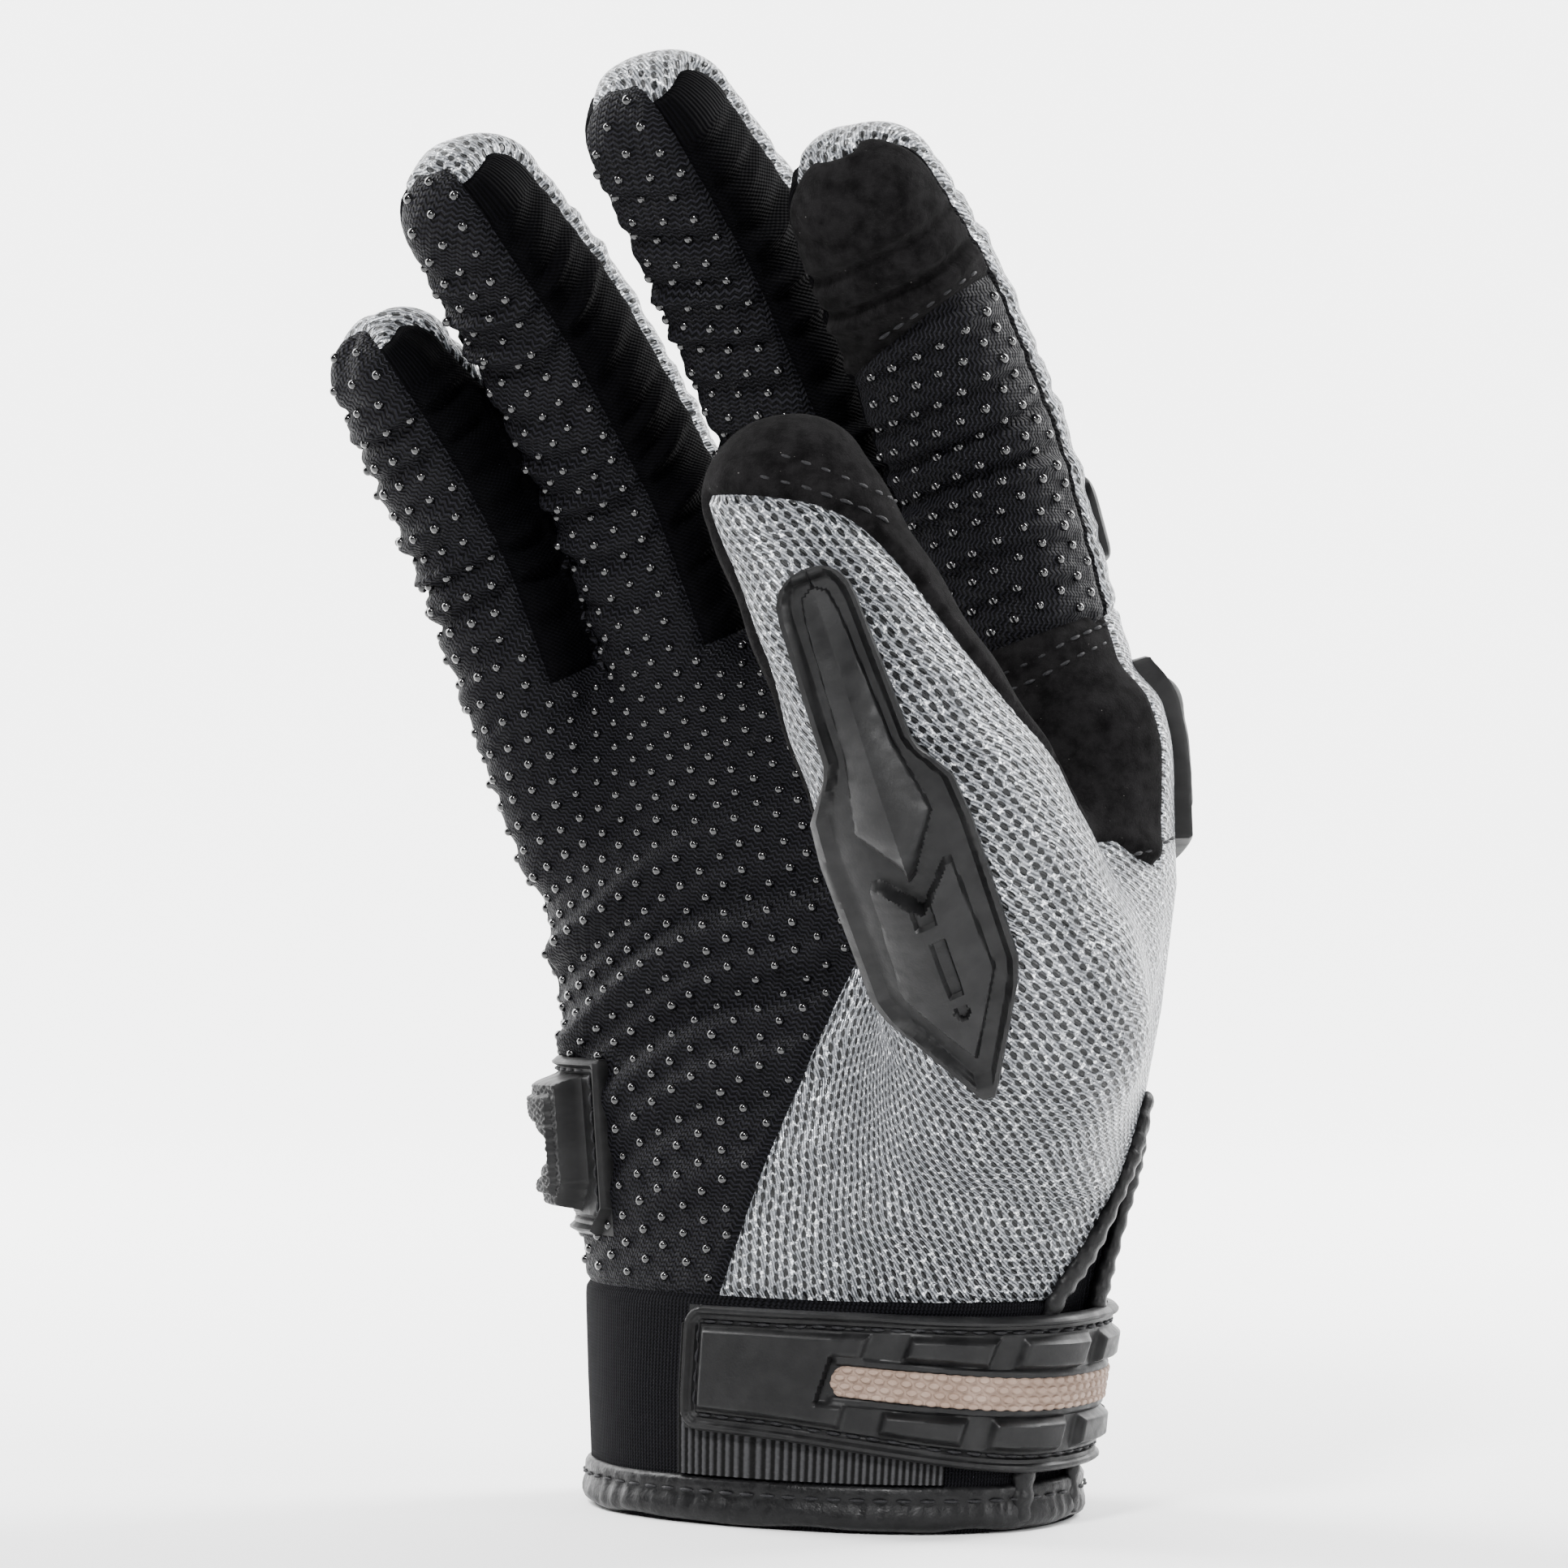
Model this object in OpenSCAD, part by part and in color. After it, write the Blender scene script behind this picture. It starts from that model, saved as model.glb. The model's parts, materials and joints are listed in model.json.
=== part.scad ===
// Right-hand riding glove: knit palm, mesh back, moulded guards, wrist strap.
// Origin: centre of the wrist opening at the hem. +Z fingertips, -Y palm,
// +X thumb side. Millimetres.

/* [Shell] */
// thickness of the fabric shell
wall = 1.4; // [1.1:0.1:1.8]
// squareness of the finger and palm sections
boxiness = 2.7; // [2.3:0.1:3.0]

/* [Hand] */
// half width of the palm across the knuckles
palm_half = 57; // [56:0.5:59]
// half depth of the palm at the knuckles
palm_depth = 19.4; // [18.6:0.2:20.4]
// half width of the cuff at the hem
cuff_half = 40; // [38:0.5:42]
// half depth of the cuff
cuff_depth = 27; // [25.5:0.5:28.5]

/* [Fingers] */
// index proximal length
index_len = 50; // [48:0.5:52]
// middle proximal length
middle_len = 54; // [52:0.5:56]
// ring proximal length
ring_len = 50; // [48:0.5:52]
// little proximal length
little_len = 52; // [50:0.5:54]
// wedge gap at a finger joint, palm side
flex_gap = 5.9; // [5:0.1:6.5]
// wedge gap at a finger joint, back side
back_gap = 1.4; // [1.2:0.1:1.8]

/* [Guards and strap] */
// height of the knuckle guard
guard_rise = 7.5; // [5:0.5:8.5]
// height of the thumb guard
thumb_rise = 4.6; // [3:0.2:6]
// height of the palm slider block
slider_rise = 6; // [4:0.5:7]
// lower edge of the wrist strap
strap_low = 11.5; // [10.5:0.5:12.5]
// upper edge of the wrist strap
strap_high = 33; // [31:0.5:34]
// thickness of the strap plate
strap_thick = 2.8; // [2.2:0.1:3.2]

/* [Hidden] */
// clearance to a part of another body
clear = 0.35;
// gap between a layer and the layer it lies on
lay = 0.28;
// open seam between two solids of one node, as a length and as a cap angle
seam = 0.06;
seam_turn = 0.4;
// height where the finger roots leave the palm
root_z = 122;
// top of the cuff band and of the hem binding
cuff_top = 35.5;
hem_top = 6;
// palm opening that the thumb sleeve grows out of
thumb_lo = 50;
thumb_hi = 108;
thumb_a0 = -62;
thumb_a1 = 18;
// slit in the radial side of the cuff
slit_a0 = 18;
slit_a1 = 40;
// angle of the strap hinge, and its end angles
hinge_a = -14;
flap_a0 = -104;
flap_gap = 3.2;
// inner and outer face of the strap plate, above the cuff
strap_base = 2.2;
strap_top = strap_base + strap_thick;
palmward = [0, -1, 0];

// base, lean, [length, flex] x3, half widths x4, half depths x4, tip, hinge at
fingers = [
  [[41.5, -2, 118], 9, [[index_len, 15], [29, 31], [20, 43]],
   [13.4, 13.2, 12.8, 11.4], [15.5, 14.2, 13, 11], 10.5, 30],
  [[13.5, -1, 122], 11.5, [[middle_len, 14], [33, 31], [23, 43]],
   [13.2, 13.2, 12.8, 11.2], [16, 14.2, 13, 11], 10.5, 30],
  [[-15, -2, 118], 15.5, [[ring_len, 15], [31.5, 31], [22, 42]],
   [13.2, 13, 12.4, 10.8], [15.5, 14, 12.8, 10.8], 10.5, 30],
  [[-40, -4, 107], 14, [[little_len, 17], [19, 31], [15, 41]],
   [12.2, 11.8, 11, 9.2], [14.5, 12.8, 11.8, 10], 9.5, 33]];
// centre x and half width of each finger root where it leaves the palm
roots = [[41, 14.6], [12.2, 13.5], [-16.2, 13.9], [-43.4, 12.7]];
// centre x, centre y, half width, half depth up the palm
palm_cx = [[0, 0], [20, 0.5], [40, 2], [60, 3.5], [80, 4.5], [100, 3], [122, 1]];
palm_cy = [[0, 0], [40, 0], [60, -1], [100, -1.5], [122, -1.5]];
palm_a = [[0, cuff_half], [20, cuff_half + 1.5], [40, 44], [60, 48],
  [80, 51.5], [100, 55], [122, palm_half + 1]];
palm_b = [[0, cuff_depth], [20, cuff_depth], [40, 26], [60, 24], [80, 22.5],
  [100, 21], [122, palm_depth]];
// thumb centreline, half widths, half depths, and its outer side direction
thumb_pts = [[28, -9, 52], [46, -26, 82], [45, -46, 110], [34, -58, 138],
  [24, -62, 160]];
thumb_a = [17, 20, 15.5, 13.6, 12.2];
thumb_b = [15, 18.5, 15, 13.2, 11.5];
thumb_side = [0.84, 0.5, 0.2];
thumb_tip = 10.5;
// thumb stations: 0 is the first point, 1 the second, and so on
thumb_start = 1.45;
thumb_hinge = 3.45;

// ---- ring maths: ring = [centre, side, back, a, b, power, t0, t1, lo, hi]
function mix(a, b, f) = a + (b - a) * f;
function unit(v) = v / norm(v);
function bow(x, p) = sign(x) * pow(abs(x), 2 / p);
function rim(r, t, off) = r[0] + r[1] * (bow(cos(t), r[5]) * (r[3] + off))
  + r[2] * (bow(sin(t), r[5]) * (r[4] + off));
function arc(r, t0, t1, lo, hi) =
  [r[0], r[1], r[2], r[3], r[4], r[5], t0, t1, lo, hi];
function arcs(rs, t0, t1, lo, hi) = [for (r = rs) arc(r, t0, t1, lo, hi)];

// open panel between the angles t0 and t1 and the offsets lo and hi
module skin(rings, n) {
  m = 2 * (n + 1);
  k = len(rings);
  pts = [for (r = rings) each concat(
    [for (i = [0:n]) rim(r, mix(r[6], r[7], i / n), r[9])],
    [for (i = [n:-1:0]) rim(r, mix(r[6], r[7], i / n), r[8])])];
  sides = [for (j = [0:k - 2], i = [0:m - 1]) let (i2 = (i + 1) % m)
    [j * m + i, (j + 1) * m + i, (j + 1) * m + i2, j * m + i2]];
  low = [for (i = [0:n - 1]) [i, i + 1, m - 2 - i, m - 1 - i]];
  e = (k - 1) * m;
  top = [for (i = [0:n - 1])
    [e + m - 1 - i, e + m - 2 - i, e + i + 1, e + i]];
  polyhedron(pts, concat(sides, low, top), convexity = 6);
}
// closed wall between two stacks of loops
module wall_tube(outer, inner) {
  k = len(outer);
  n = len(outer[0]);
  q = k * n;
  pts = concat([for (l = outer) each l], [for (l = inner) each l]);
  sides = [for (j = [0:k - 2], i = [0:n - 1]) let (i2 = (i + 1) % n)
    [j * n + i, (j + 1) * n + i, (j + 1) * n + i2, j * n + i2]];
  hole = [for (f = sides) [q + f[0], q + f[3], q + f[2], q + f[1]]];
  low = [for (i = [0:n - 1]) let (i2 = (i + 1) % n) [i, i2, q + i2, q + i]];
  e = (k - 1) * n;
  top = [for (i = [0:n - 1]) let (i2 = (i + 1) % n)
    [e + q + i, e + q + i2, e + i2, e + i]];
  polyhedron(pts, concat(sides, hole, low, top), convexity = 6);
}
function loop(r, off, n) = [for (i = [0:n - 1]) rim(r, 360 * i / n, off)];
module tube(rings, n) {
  wall_tube([for (r = rings) loop(r, r[9], n)], [for (r = rings) loop(r, r[8], n)]);
}
// closed finger end: rings, then one point outside and one inside
module dome(rings, apex_out, apex_in, n) {
  k = len(rings);
  q = k * n;
  pts = concat([for (r = rings) each loop(r, r[9], n)],
    [for (r = rings) each loop(r, r[8], n)], [apex_out, apex_in]);
  sides = [for (j = [0:k - 2], i = [0:n - 1]) let (i2 = (i + 1) % n)
    [j * n + i, (j + 1) * n + i, (j + 1) * n + i2, j * n + i2]];
  hole = [for (f = sides) [q + f[0], q + f[3], q + f[2], q + f[1]]];
  low = [for (i = [0:n - 1]) let (i2 = (i + 1) % n) [i, i2, q + i2, q + i]];
  e = (k - 1) * n;
  caps = [for (i = [0:n - 1]) let (i2 = (i + 1) % n)
    each [[e + i, 2 * q, e + i2], [e + q + i2, 2 * q + 1, e + q + i]]];
  polyhedron(pts, concat(sides, hole, low, caps), convexity = 6);
}

// ---- palm rings
function palm(z) = [[lookup(z, palm_cx), lookup(z, palm_cy), z], [1, 0, 0],
  [0, 1, 0], lookup(z, palm_a), lookup(z, palm_b),
  lookup(z, [[0, 2.3], [60, 2.4], [122, boxiness]])];
module palm_skin(zs, t0, t1, lo, hi, n) {
  skin(arcs([for (z = zs) palm(z)], t0, t1, lo, hi), n);
}

// ---- finger rings
function lean_dir(f) = [-sin(f[1]), 0, cos(f[1])];
function side_dir(f) = [cos(f[1]), 0, sin(f[1])];
function along(f, a) = lean_dir(f) * cos(a) + palmward * sin(a);
function over(f, a) = lean_dir(f) * sin(a) - palmward * cos(a);
function spot(f, k) = k == 0 ? f[0]
  : spot(f, k - 1) + along(f, f[2][k - 1][1]) * f[2][k - 1][0];
// ring part-way along segment k
function fring(f, k, u) = [mix(spot(f, k), spot(f, k + 1), u), side_dir(f),
  over(f, f[2][k][1]), mix(f[3][k], f[3][k + 1], u),
  mix(f[4][k], f[4][k + 1], u), boxiness];
// ring cut at the slope of a joint wedge; way is -1 below, +1 above the hinge
function cut(c, s, d, n, a, b, way, slip) = [
  c + d * (way * ((flex_gap + back_gap) / 2 + slip)), s,
  n - d * (way * (flex_gap - back_gap) / (2 * b)), a, b, boxiness];
function root_u(f) = f[6] / f[2][0][0];
function root_cut(f, way, slip) = let (r = fring(f, 0, root_u(f)))
  cut(r[0], r[1], along(f, f[2][0][1]), r[2], r[3], r[4], way, slip);
function mid_cut(f, way, slip) = let (a = (f[2][0][1] + f[2][1][1]) / 2)
  cut(spot(f, 1), side_dir(f), along(f, a), over(f, a), f[3][1], f[4][1],
    way, slip);
function mitre(f) = let (a = (f[2][1][1] + f[2][2][1]) / 2)
  [spot(f, 2), side_dir(f), over(f, a), f[3][2], f[4][2], boxiness];
function end_ring(f, phi) = let (r = fring(f, 2, 1))
  [r[0] + along(f, f[2][2][1]) * (f[5] * sin(phi)), r[1], r[2],
    r[3] * cos(phi), r[4] * cos(phi), boxiness];
function base_rings(f) = [root_cut(f, 1, 0),
  fring(f, 0, mix(root_u(f), 1, 0.5)), mid_cut(f, -1, 0)];
function tip_rings(f) = [mid_cut(f, 1, 0), fring(f, 1, 0.55), mitre(f),
  fring(f, 2, 0.5), fring(f, 2, 1)];
function root_ring(i) = [[roots[i][0], -1.5, root_z], [1, 0, 0], [0, 1, 0],
  roots[i][1], 18.7 - (i == 3 ? 0.8 : 0), boxiness];
function root_rings(i) = [root_ring(i), root_cut(fingers[i], -1, 0)];

// finger panels: back spans 25..155, front 205..335, walls between
module base_front(f) { skin(arcs(base_rings(f), 205, 335, -wall, 0), 10); }
module base_back(f) { skin(arcs(base_rings(f), 25, 155, -wall, 0), 10); }
module walls(f) {
  skin(arcs(base_rings(f), -25, 25, -wall, 0), 4);
  skin(arcs(base_rings(f), 155, 205, -wall, 0), 4);
  tube(arcs([mid_cut(f, -1, -seam), mid_cut(f, 1, -clear)], 0, 360, -wall, 0),
    28);
}
module tip_front(f) { skin(arcs(tip_rings(f), 198, 342, -wall, 0), 12); }
module tip_back(f) {
  skin(arcs(tip_rings(f), -18, 198, -wall, 0), 16);
  tip = spot(f, 3) + along(f, f[2][2][1]) * f[5];
  dome(arcs([for (p = [seam_turn, 24, 46, 66]) end_ring(f, p)], 0, 360, -wall, 0),
    tip, tip - along(f, f[2][2][1]) * wall, 28);
}
module root_gusset(f) {
  tube(arcs([root_cut(f, -1, 0), root_cut(f, 1, -clear)], 0, 360, -wall, 0),
    28);
}
// moulded guard on the back of a finger's first segment
module finger_guard(f) {
  u0 = root_u(f);
  skin([for (s = [[0.22, 14, 1.2], [0.3, 26, 2.6], [0.5, 40, 4],
    [0.74, 32, 3.4], [0.88, 12, 1.2]])
    arc(fring(f, 0, mix(u0, 1, s[0])), 90 - s[1], 90 + s[1], lay, s[2])], 8);
}

// ---- thumb rings
function thumb_dir(u) = let (k = min(floor(u), 3))
  unit(thumb_pts[k + 1] - thumb_pts[k]);
function thumb_turn(u) = let (k = round(u))
  abs(u - k) < 0.12 && k > 0 && k < 4
  ? unit(thumb_dir(k - 0.5) + thumb_dir(k + 0.5)) : thumb_dir(u);
function thumb_at(v, u) = let (k = min(floor(u), 3)) mix(v[k], v[k + 1], u - k);
function thumb_ring(u) = let (d = thumb_turn(u),
  s = unit(thumb_side - d * (thumb_side * d)))
  [thumb_at(thumb_pts, u), s, cross(d, s), thumb_at(thumb_a, u),
    thumb_at(thumb_b, u), 2.4];
// the thumb bends toward its pad, so its wedge opens on the other side
function thumb_cut(way, slip) = let (r = thumb_ring(thumb_hinge),
  d = thumb_turn(thumb_hinge))
  [r[0] + d * (way * ((flex_gap + back_gap) / 2 + slip)), r[1],
    r[2] + d * (way * (flex_gap - back_gap) / (2 * r[4])), r[3], r[4], 2.4];
function thumb_body() = [for (u = [thumb_start, 1.75, 2, 2.5, 3]) thumb_ring(u)];
function thumb_end(phi) = let (r = thumb_ring(4), d = thumb_turn(4))
  [r[0] + d * (thumb_tip * sin(phi)), r[1], r[2], r[3] * cos(phi),
    r[4] * cos(phi), 2.4];
// loop round the palm opening, in step with the thumb's angles
function gate(t, off) = let (c = cos(t), s = sin(t),
  q = max(abs(c), abs(s)),
  z = mix(thumb_lo, thumb_hi, 0.5 - 0.5 * c / q),
  a = mix(thumb_a0, thumb_a1, 0.5 + 0.5 * s / q)) rim(palm(z), a, off);
function gate_in(t, by) = let (c = cos(t), s = sin(t),
  q = max(abs(c), abs(s)),
  z = mix(thumb_lo + by, thumb_hi - by, 0.5 - 0.5 * c / q),
  a = mix(thumb_a0 + by * 1.3, thumb_a1 - by * 1.3, 0.5 + 0.5 * s / q))
  rim(palm(z), a, -wall);

// ---- hand
module palm_front() color("dimgray")
  palm_skin([cuff_top, 60, 80, 100, root_z], -160, thumb_a0, -wall, 0, 14);
module ulnar_wrap() color("dimgray")
  palm_skin([cuff_top, 60, 80, 100, root_z], 152, 200, -wall, 0, 6);
module hand_back() color("silver") {
  palm_skin([68, 80, 100, root_z], thumb_a1, 152, -wall, 0, 16);
  palm_skin([cuff_top, 60, 68], slit_a1, 152, -wall, 0, 14);
}
module heel_gore() color("silver")
  palm_skin([cuff_top, thumb_lo], thumb_a0, thumb_a1, -wall, 0, 10);
module web_patch() color("black")
  palm_skin([thumb_hi, 115, root_z], thumb_a0, thumb_a1, -wall, 0, 10);
module thenar_gusset() color("silver") {
  n = 32;
  first = thumb_ring(thumb_start);
  last = concat([first[0] - thumb_turn(thumb_start) * clear],
    [for (i = [1:5]) first[i]]);
  heel = thumb_ring(0.9);
  turns = [for (i = [0:n - 1]) 360 * i / n];
  wall_tube(
    [[for (t = turns) gate(t, -wall / 2)],
     [for (t = turns) mix(mix(gate(t, 0), rim(last, t, 0), 0.4),
       rim(heel, t, 0), 0.5 - 0.5 * sin(t))],
     loop(last, 0, n)],
    [[for (t = turns) gate_in(t, 2.2)],
     [for (t = turns) mix(mix(gate_in(t, 2.2), rim(last, t, -wall), 0.4),
       rim(heel, t, -wall), 0.5 - 0.5 * sin(t))],
     loop(last, -wall, n)]);
}
module finger_roots_front() color("dimgray") for (i = [0:3])
  skin(arcs(root_rings(i), 155, 385, -wall, 0), 20);
module finger_roots_back() color("silver") for (i = [0:3])
  skin(arcs(root_rings(i), 25, 155, -wall, 0), 10);
module knuckle_guard() color("black")
  skin([for (s = [[88, 40, 1.2], [94, 52, 4], [103, 58, guard_rise],
    [113, 60, guard_rise], [119, 52, 4.5], [121.5, 46, 1.5]])
    arc(palm(s[0]), 90 - s[1], 90 + s[1], lay, s[2])], 18);
module knuckle_foam() color("gold")
  palm_skin([92, 106, 119], 40, 140, -wall - 2.6, -wall - lay, 12);
module palm_slider_flange() color("black")
  palm_skin([43.5, 50, 58, 66, 71.5], -172, -136, lay, 1.6, 6);
module palm_slider_block() color("black")
  skin([for (s = [[46, 3, 3.2], [48, 0, slider_rise], [56, 0, slider_rise],
    [57.5, 5, 3.4], [59, 0, slider_rise], [67, 0, slider_rise - 0.5],
    [69.5, 3, 3]])
    arc(palm(s[0]), -170 + s[1], -140 - s[1], 1.6 + lay, s[2])], 6);

// ---- cuff and strap
module cuff_band() color("black")
  palm_skin([hem_top, 20, cuff_top], slit_a1, 360 + slit_a0, -wall, 0, 40);
module hem_binding() color("black")
  skin([for (s = [[0, -0.6], [1, 0], [5, 0], [hem_top, -0.6]])
    arc(palm(s[0]), slit_a1, 360 + slit_a0, -wall - 1.2 - s[1] / 2,
      1.2 + s[1])], 40);
module slit_gusset() color("black")
  skin([for (s = [[3, 2], [20, 2.4], [cuff_top, 3], [54, 2.4], [68, 1.5]])
    arc(palm(s[0]), slit_a0, slit_a1, -wall - s[1], -wall - s[1] + 1)], 6);
module slit_binding() color("black") {
  skin([for (z = [0, 20, cuff_top, 54, 67.5])
    arc(palm(z), slit_a0 + 0.6, slit_a0 + 3.2, lay - wall, 0.9)], 2);
  skin([for (z = [0, 20, cuff_top, 54, 67.5])
    arc(palm(z), slit_a1 - 3.2, slit_a1 - 0.6, lay - wall, 0.9)], 2);
}
module loop_patch() color("dimgray")
  palm_skin([8.5, 20, strap_high - 2], -108, -50, lay, 1, 10);
module cuff_lining() color("gray")
  palm_skin([7, 20, 34], slit_a1 + 6, 354 + slit_a0, -wall - 0.9, -wall - lay, 36);
module hook_patch() color("black")
  palm_skin([strap_low + 1, 20, strap_high - 1.5], -100, -58, 1 + clear,
    strap_base - lay, 8);
module flap_plate() color("black")
  skin([for (s = [[strap_low, 1.5], [strap_low + 2, 0], [strap_high - 2, 0],
    [strap_high, 1.5]])
    arc(palm(s[0]), flap_a0 + s[1], hinge_a - flap_gap, strap_base,
      strap_base + strap_thick - s[1] * 0.6)], 24);
module flap_tan_strip() color("tan")
  palm_skin([19.5, 25], -70, hinge_a - flap_gap - 6, strap_top + lay,
    strap_top + 1.1, 16);
module strap_anchor() color("black") {
  skin([for (s = [[strap_low, 1.5], [strap_low + 2, 0], [strap_high - 2, 0],
    [strap_high, 1.5]])
    arc(palm(s[0]), hinge_a + flap_gap, 96 - s[1], strap_base,
      strap_base + strap_thick - s[1] * 0.6)], 22);
  palm_skin([strap_low + 3, 20, strap_high - 3], 70, 94, lay, strap_base, 6);
}
module tan_strip_anchor() color("tan")
  palm_skin([19.5, 25], hinge_a + flap_gap + 6, 60, strap_top + 2 * lay,
    strap_top + 1.3, 14);
module flap_hinge_web() color("black")
  palm_skin([strap_low + 1, strap_high - 1], hinge_a - flap_gap,
    hinge_a + flap_gap - 0.6, strap_base + 0.9, strap_base + 1.9, 3);

// ---- thumb
module thumb_back() color("silver")
  skin(arcs(concat(thumb_body(), [thumb_cut(-1, 0)]), 180, 352, -wall, 0), 14);
module thumb_pad() color("dimgray")
  skin(arcs(concat(thumb_body(), [thumb_cut(-1, 0)]), -8, 180, -wall, 0), 14);
module thumb_guard() color("black")
  skin([for (s = [[0.8, 2, 1], [1.05, 14, thumb_rise], [1.6, 28, thumb_rise],
    [2, 33, thumb_rise], [2.5, 27, thumb_rise - 0.6], [3, 19, 3], [3.26, 8, 1.2]])
    arc(thumb_ring(s[0]), 240 - s[1], 240 + s[1], lay, s[2])], 8);
module thumb_tip_back() color("silver") {
  skin(arcs([thumb_cut(1, 0), thumb_ring(4)], 180, 352, -wall, 0), 14);
  tip = thumb_pts[4] + thumb_turn(4) * thumb_tip;
  dome(arcs([for (p = [seam_turn, 24, 46, 66]) thumb_end(p)], 0, 360, -wall, 0),
    tip, tip - thumb_turn(4) * wall, 28);
}
module thumb_tip_pad() color("black")
  skin(arcs([thumb_cut(1, 0), thumb_ring(4)], -8, 180, -wall, 0), 14);
module thumb_tip_gusset() color("dimgray")
  tube(arcs([thumb_cut(-1, 0), thumb_cut(1, -clear)], 0, 360, -wall, 0), 28);

// ---- fingers
module index_base_front() color("dimgray") base_front(fingers[0]);
module index_base_back() color("silver") base_back(fingers[0]);
module index_walls() color("black") walls(fingers[0]);
module index_tip_front() color("dimgray") tip_front(fingers[0]);
module index_tip_back() color("silver") tip_back(fingers[0]);
module index_root_gusset() color("dimgray") root_gusset(fingers[0]);
module index_touch_pad() color("black") {
  f = fingers[0];
  skin(arcs([fring(f, 1, 0.62), mitre(f), fring(f, 2, 0.5), fring(f, 2, 1),
    end_ring(f, 24), end_ring(f, 44)], 206, 334, lay, 0.9), 10);
}
module index_guard() color("black") finger_guard(fingers[0]);
module middle_base_front() color("dimgray") base_front(fingers[1]);
module middle_base_back() color("silver") base_back(fingers[1]);
module middle_walls() color("black") walls(fingers[1]);
module middle_tip_front() color("dimgray") tip_front(fingers[1]);
module middle_tip_back() color("silver") tip_back(fingers[1]);
module middle_root_gusset() color("dimgray") root_gusset(fingers[1]);
module middle_guard() color("black") finger_guard(fingers[1]);
module ring_base_front() color("dimgray") base_front(fingers[2]);
module ring_base_back() color("silver") base_back(fingers[2]);
module ring_walls() color("black") walls(fingers[2]);
module ring_tip_front() color("dimgray") tip_front(fingers[2]);
module ring_tip_back() color("silver") tip_back(fingers[2]);
module ring_root_gusset() color("dimgray") root_gusset(fingers[2]);
module ring_guard() color("black") finger_guard(fingers[2]);
module little_base_front() color("dimgray") base_front(fingers[3]);
module little_base_back() color("silver") base_back(fingers[3]);
module little_walls() color("black") walls(fingers[3]);
module little_tip_front() color("dimgray") tip_front(fingers[3]);
module little_tip_back() color("silver") tip_back(fingers[3]);
module little_root_gusset() color("dimgray") root_gusset(fingers[3]);

palm_front();
ulnar_wrap();
hand_back();
heel_gore();
web_patch();
thenar_gusset();
finger_roots_front();
finger_roots_back();
knuckle_guard();
knuckle_foam();
palm_slider_flange();
palm_slider_block();
cuff_band();
hem_binding();
slit_gusset();
slit_binding();
loop_patch();
strap_anchor();
tan_strip_anchor();
cuff_lining();
index_base_front();
index_base_back();
index_walls();
index_tip_front();
index_tip_back();
index_root_gusset();
index_touch_pad();
index_guard();
middle_base_front();
middle_base_back();
middle_walls();
middle_tip_front();
middle_tip_back();
middle_root_gusset();
middle_guard();
ring_base_front();
ring_base_back();
ring_walls();
ring_tip_front();
ring_tip_back();
ring_root_gusset();
ring_guard();
little_base_front();
little_base_back();
little_walls();
little_tip_front();
little_tip_back();
little_root_gusset();
thumb_back();
thumb_pad();
thumb_guard();
thumb_tip_back();
thumb_tip_pad();
thumb_tip_gusset();
flap_plate();
flap_tan_strip();
hook_patch();
flap_hinge_web();
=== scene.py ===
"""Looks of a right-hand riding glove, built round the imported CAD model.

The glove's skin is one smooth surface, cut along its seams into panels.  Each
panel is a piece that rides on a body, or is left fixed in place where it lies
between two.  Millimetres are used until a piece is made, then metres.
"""

import json
import math

import bpy
import numpy as np
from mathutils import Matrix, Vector
from mathutils.bvhtree import BVHTree
from mathutils.kdtree import KDTree


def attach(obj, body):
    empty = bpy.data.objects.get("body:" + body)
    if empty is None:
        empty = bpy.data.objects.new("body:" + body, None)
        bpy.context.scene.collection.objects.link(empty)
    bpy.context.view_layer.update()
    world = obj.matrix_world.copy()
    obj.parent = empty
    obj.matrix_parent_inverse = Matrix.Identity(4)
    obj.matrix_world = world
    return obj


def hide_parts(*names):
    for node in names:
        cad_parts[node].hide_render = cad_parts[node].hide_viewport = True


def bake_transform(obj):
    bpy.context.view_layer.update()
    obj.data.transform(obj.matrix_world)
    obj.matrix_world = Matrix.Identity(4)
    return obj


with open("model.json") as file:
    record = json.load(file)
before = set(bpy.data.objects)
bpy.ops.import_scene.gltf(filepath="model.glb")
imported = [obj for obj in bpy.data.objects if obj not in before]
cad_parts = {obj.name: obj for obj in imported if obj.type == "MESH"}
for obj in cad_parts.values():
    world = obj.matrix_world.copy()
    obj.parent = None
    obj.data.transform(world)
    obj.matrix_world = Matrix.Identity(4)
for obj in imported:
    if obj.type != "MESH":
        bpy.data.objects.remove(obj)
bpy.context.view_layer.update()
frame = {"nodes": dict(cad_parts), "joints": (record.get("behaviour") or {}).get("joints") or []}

MM = 0.001
UP = np.array([0.0, 0.0, 1.0])
PALMWARD = np.array([0.0, -1.0, 0.0])


# ---------------------------------------------------------------- small maths
def unit(v):
    v = np.asarray(v, float)
    return v / np.maximum(np.linalg.norm(v, axis=-1, keepdims=True), 1e-9)


def soft_min(a, b, k):
    """The smaller of two values, rounded over where they are within k of each other."""
    h = np.clip(0.5 + 0.5 * (b - a) / k, 0, 1)
    return b * (1 - h) + a * h - k * h * (1 - h)


def ramp(x, low, high):
    """Smooth step from 0 at low to 1 at high."""
    t = np.clip((x - low) / (high - low), 0, 1)
    return t * t * (3 - 2 * t)


def bump(x, centre, width):
    """A bell of height 1."""
    return np.exp(-(((x - centre) / width) ** 2))


def run_along(points):
    """Distance along a line of points, from its first."""
    return np.r_[0, np.cumsum(np.linalg.norm(np.diff(points, axis=0), axis=1))]


def resample(at, run, table):
    """The three columns of a table, read off at other distances."""
    return np.stack([np.interp(at, run, table[:, j]) for j in range(3)], -1)


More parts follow.
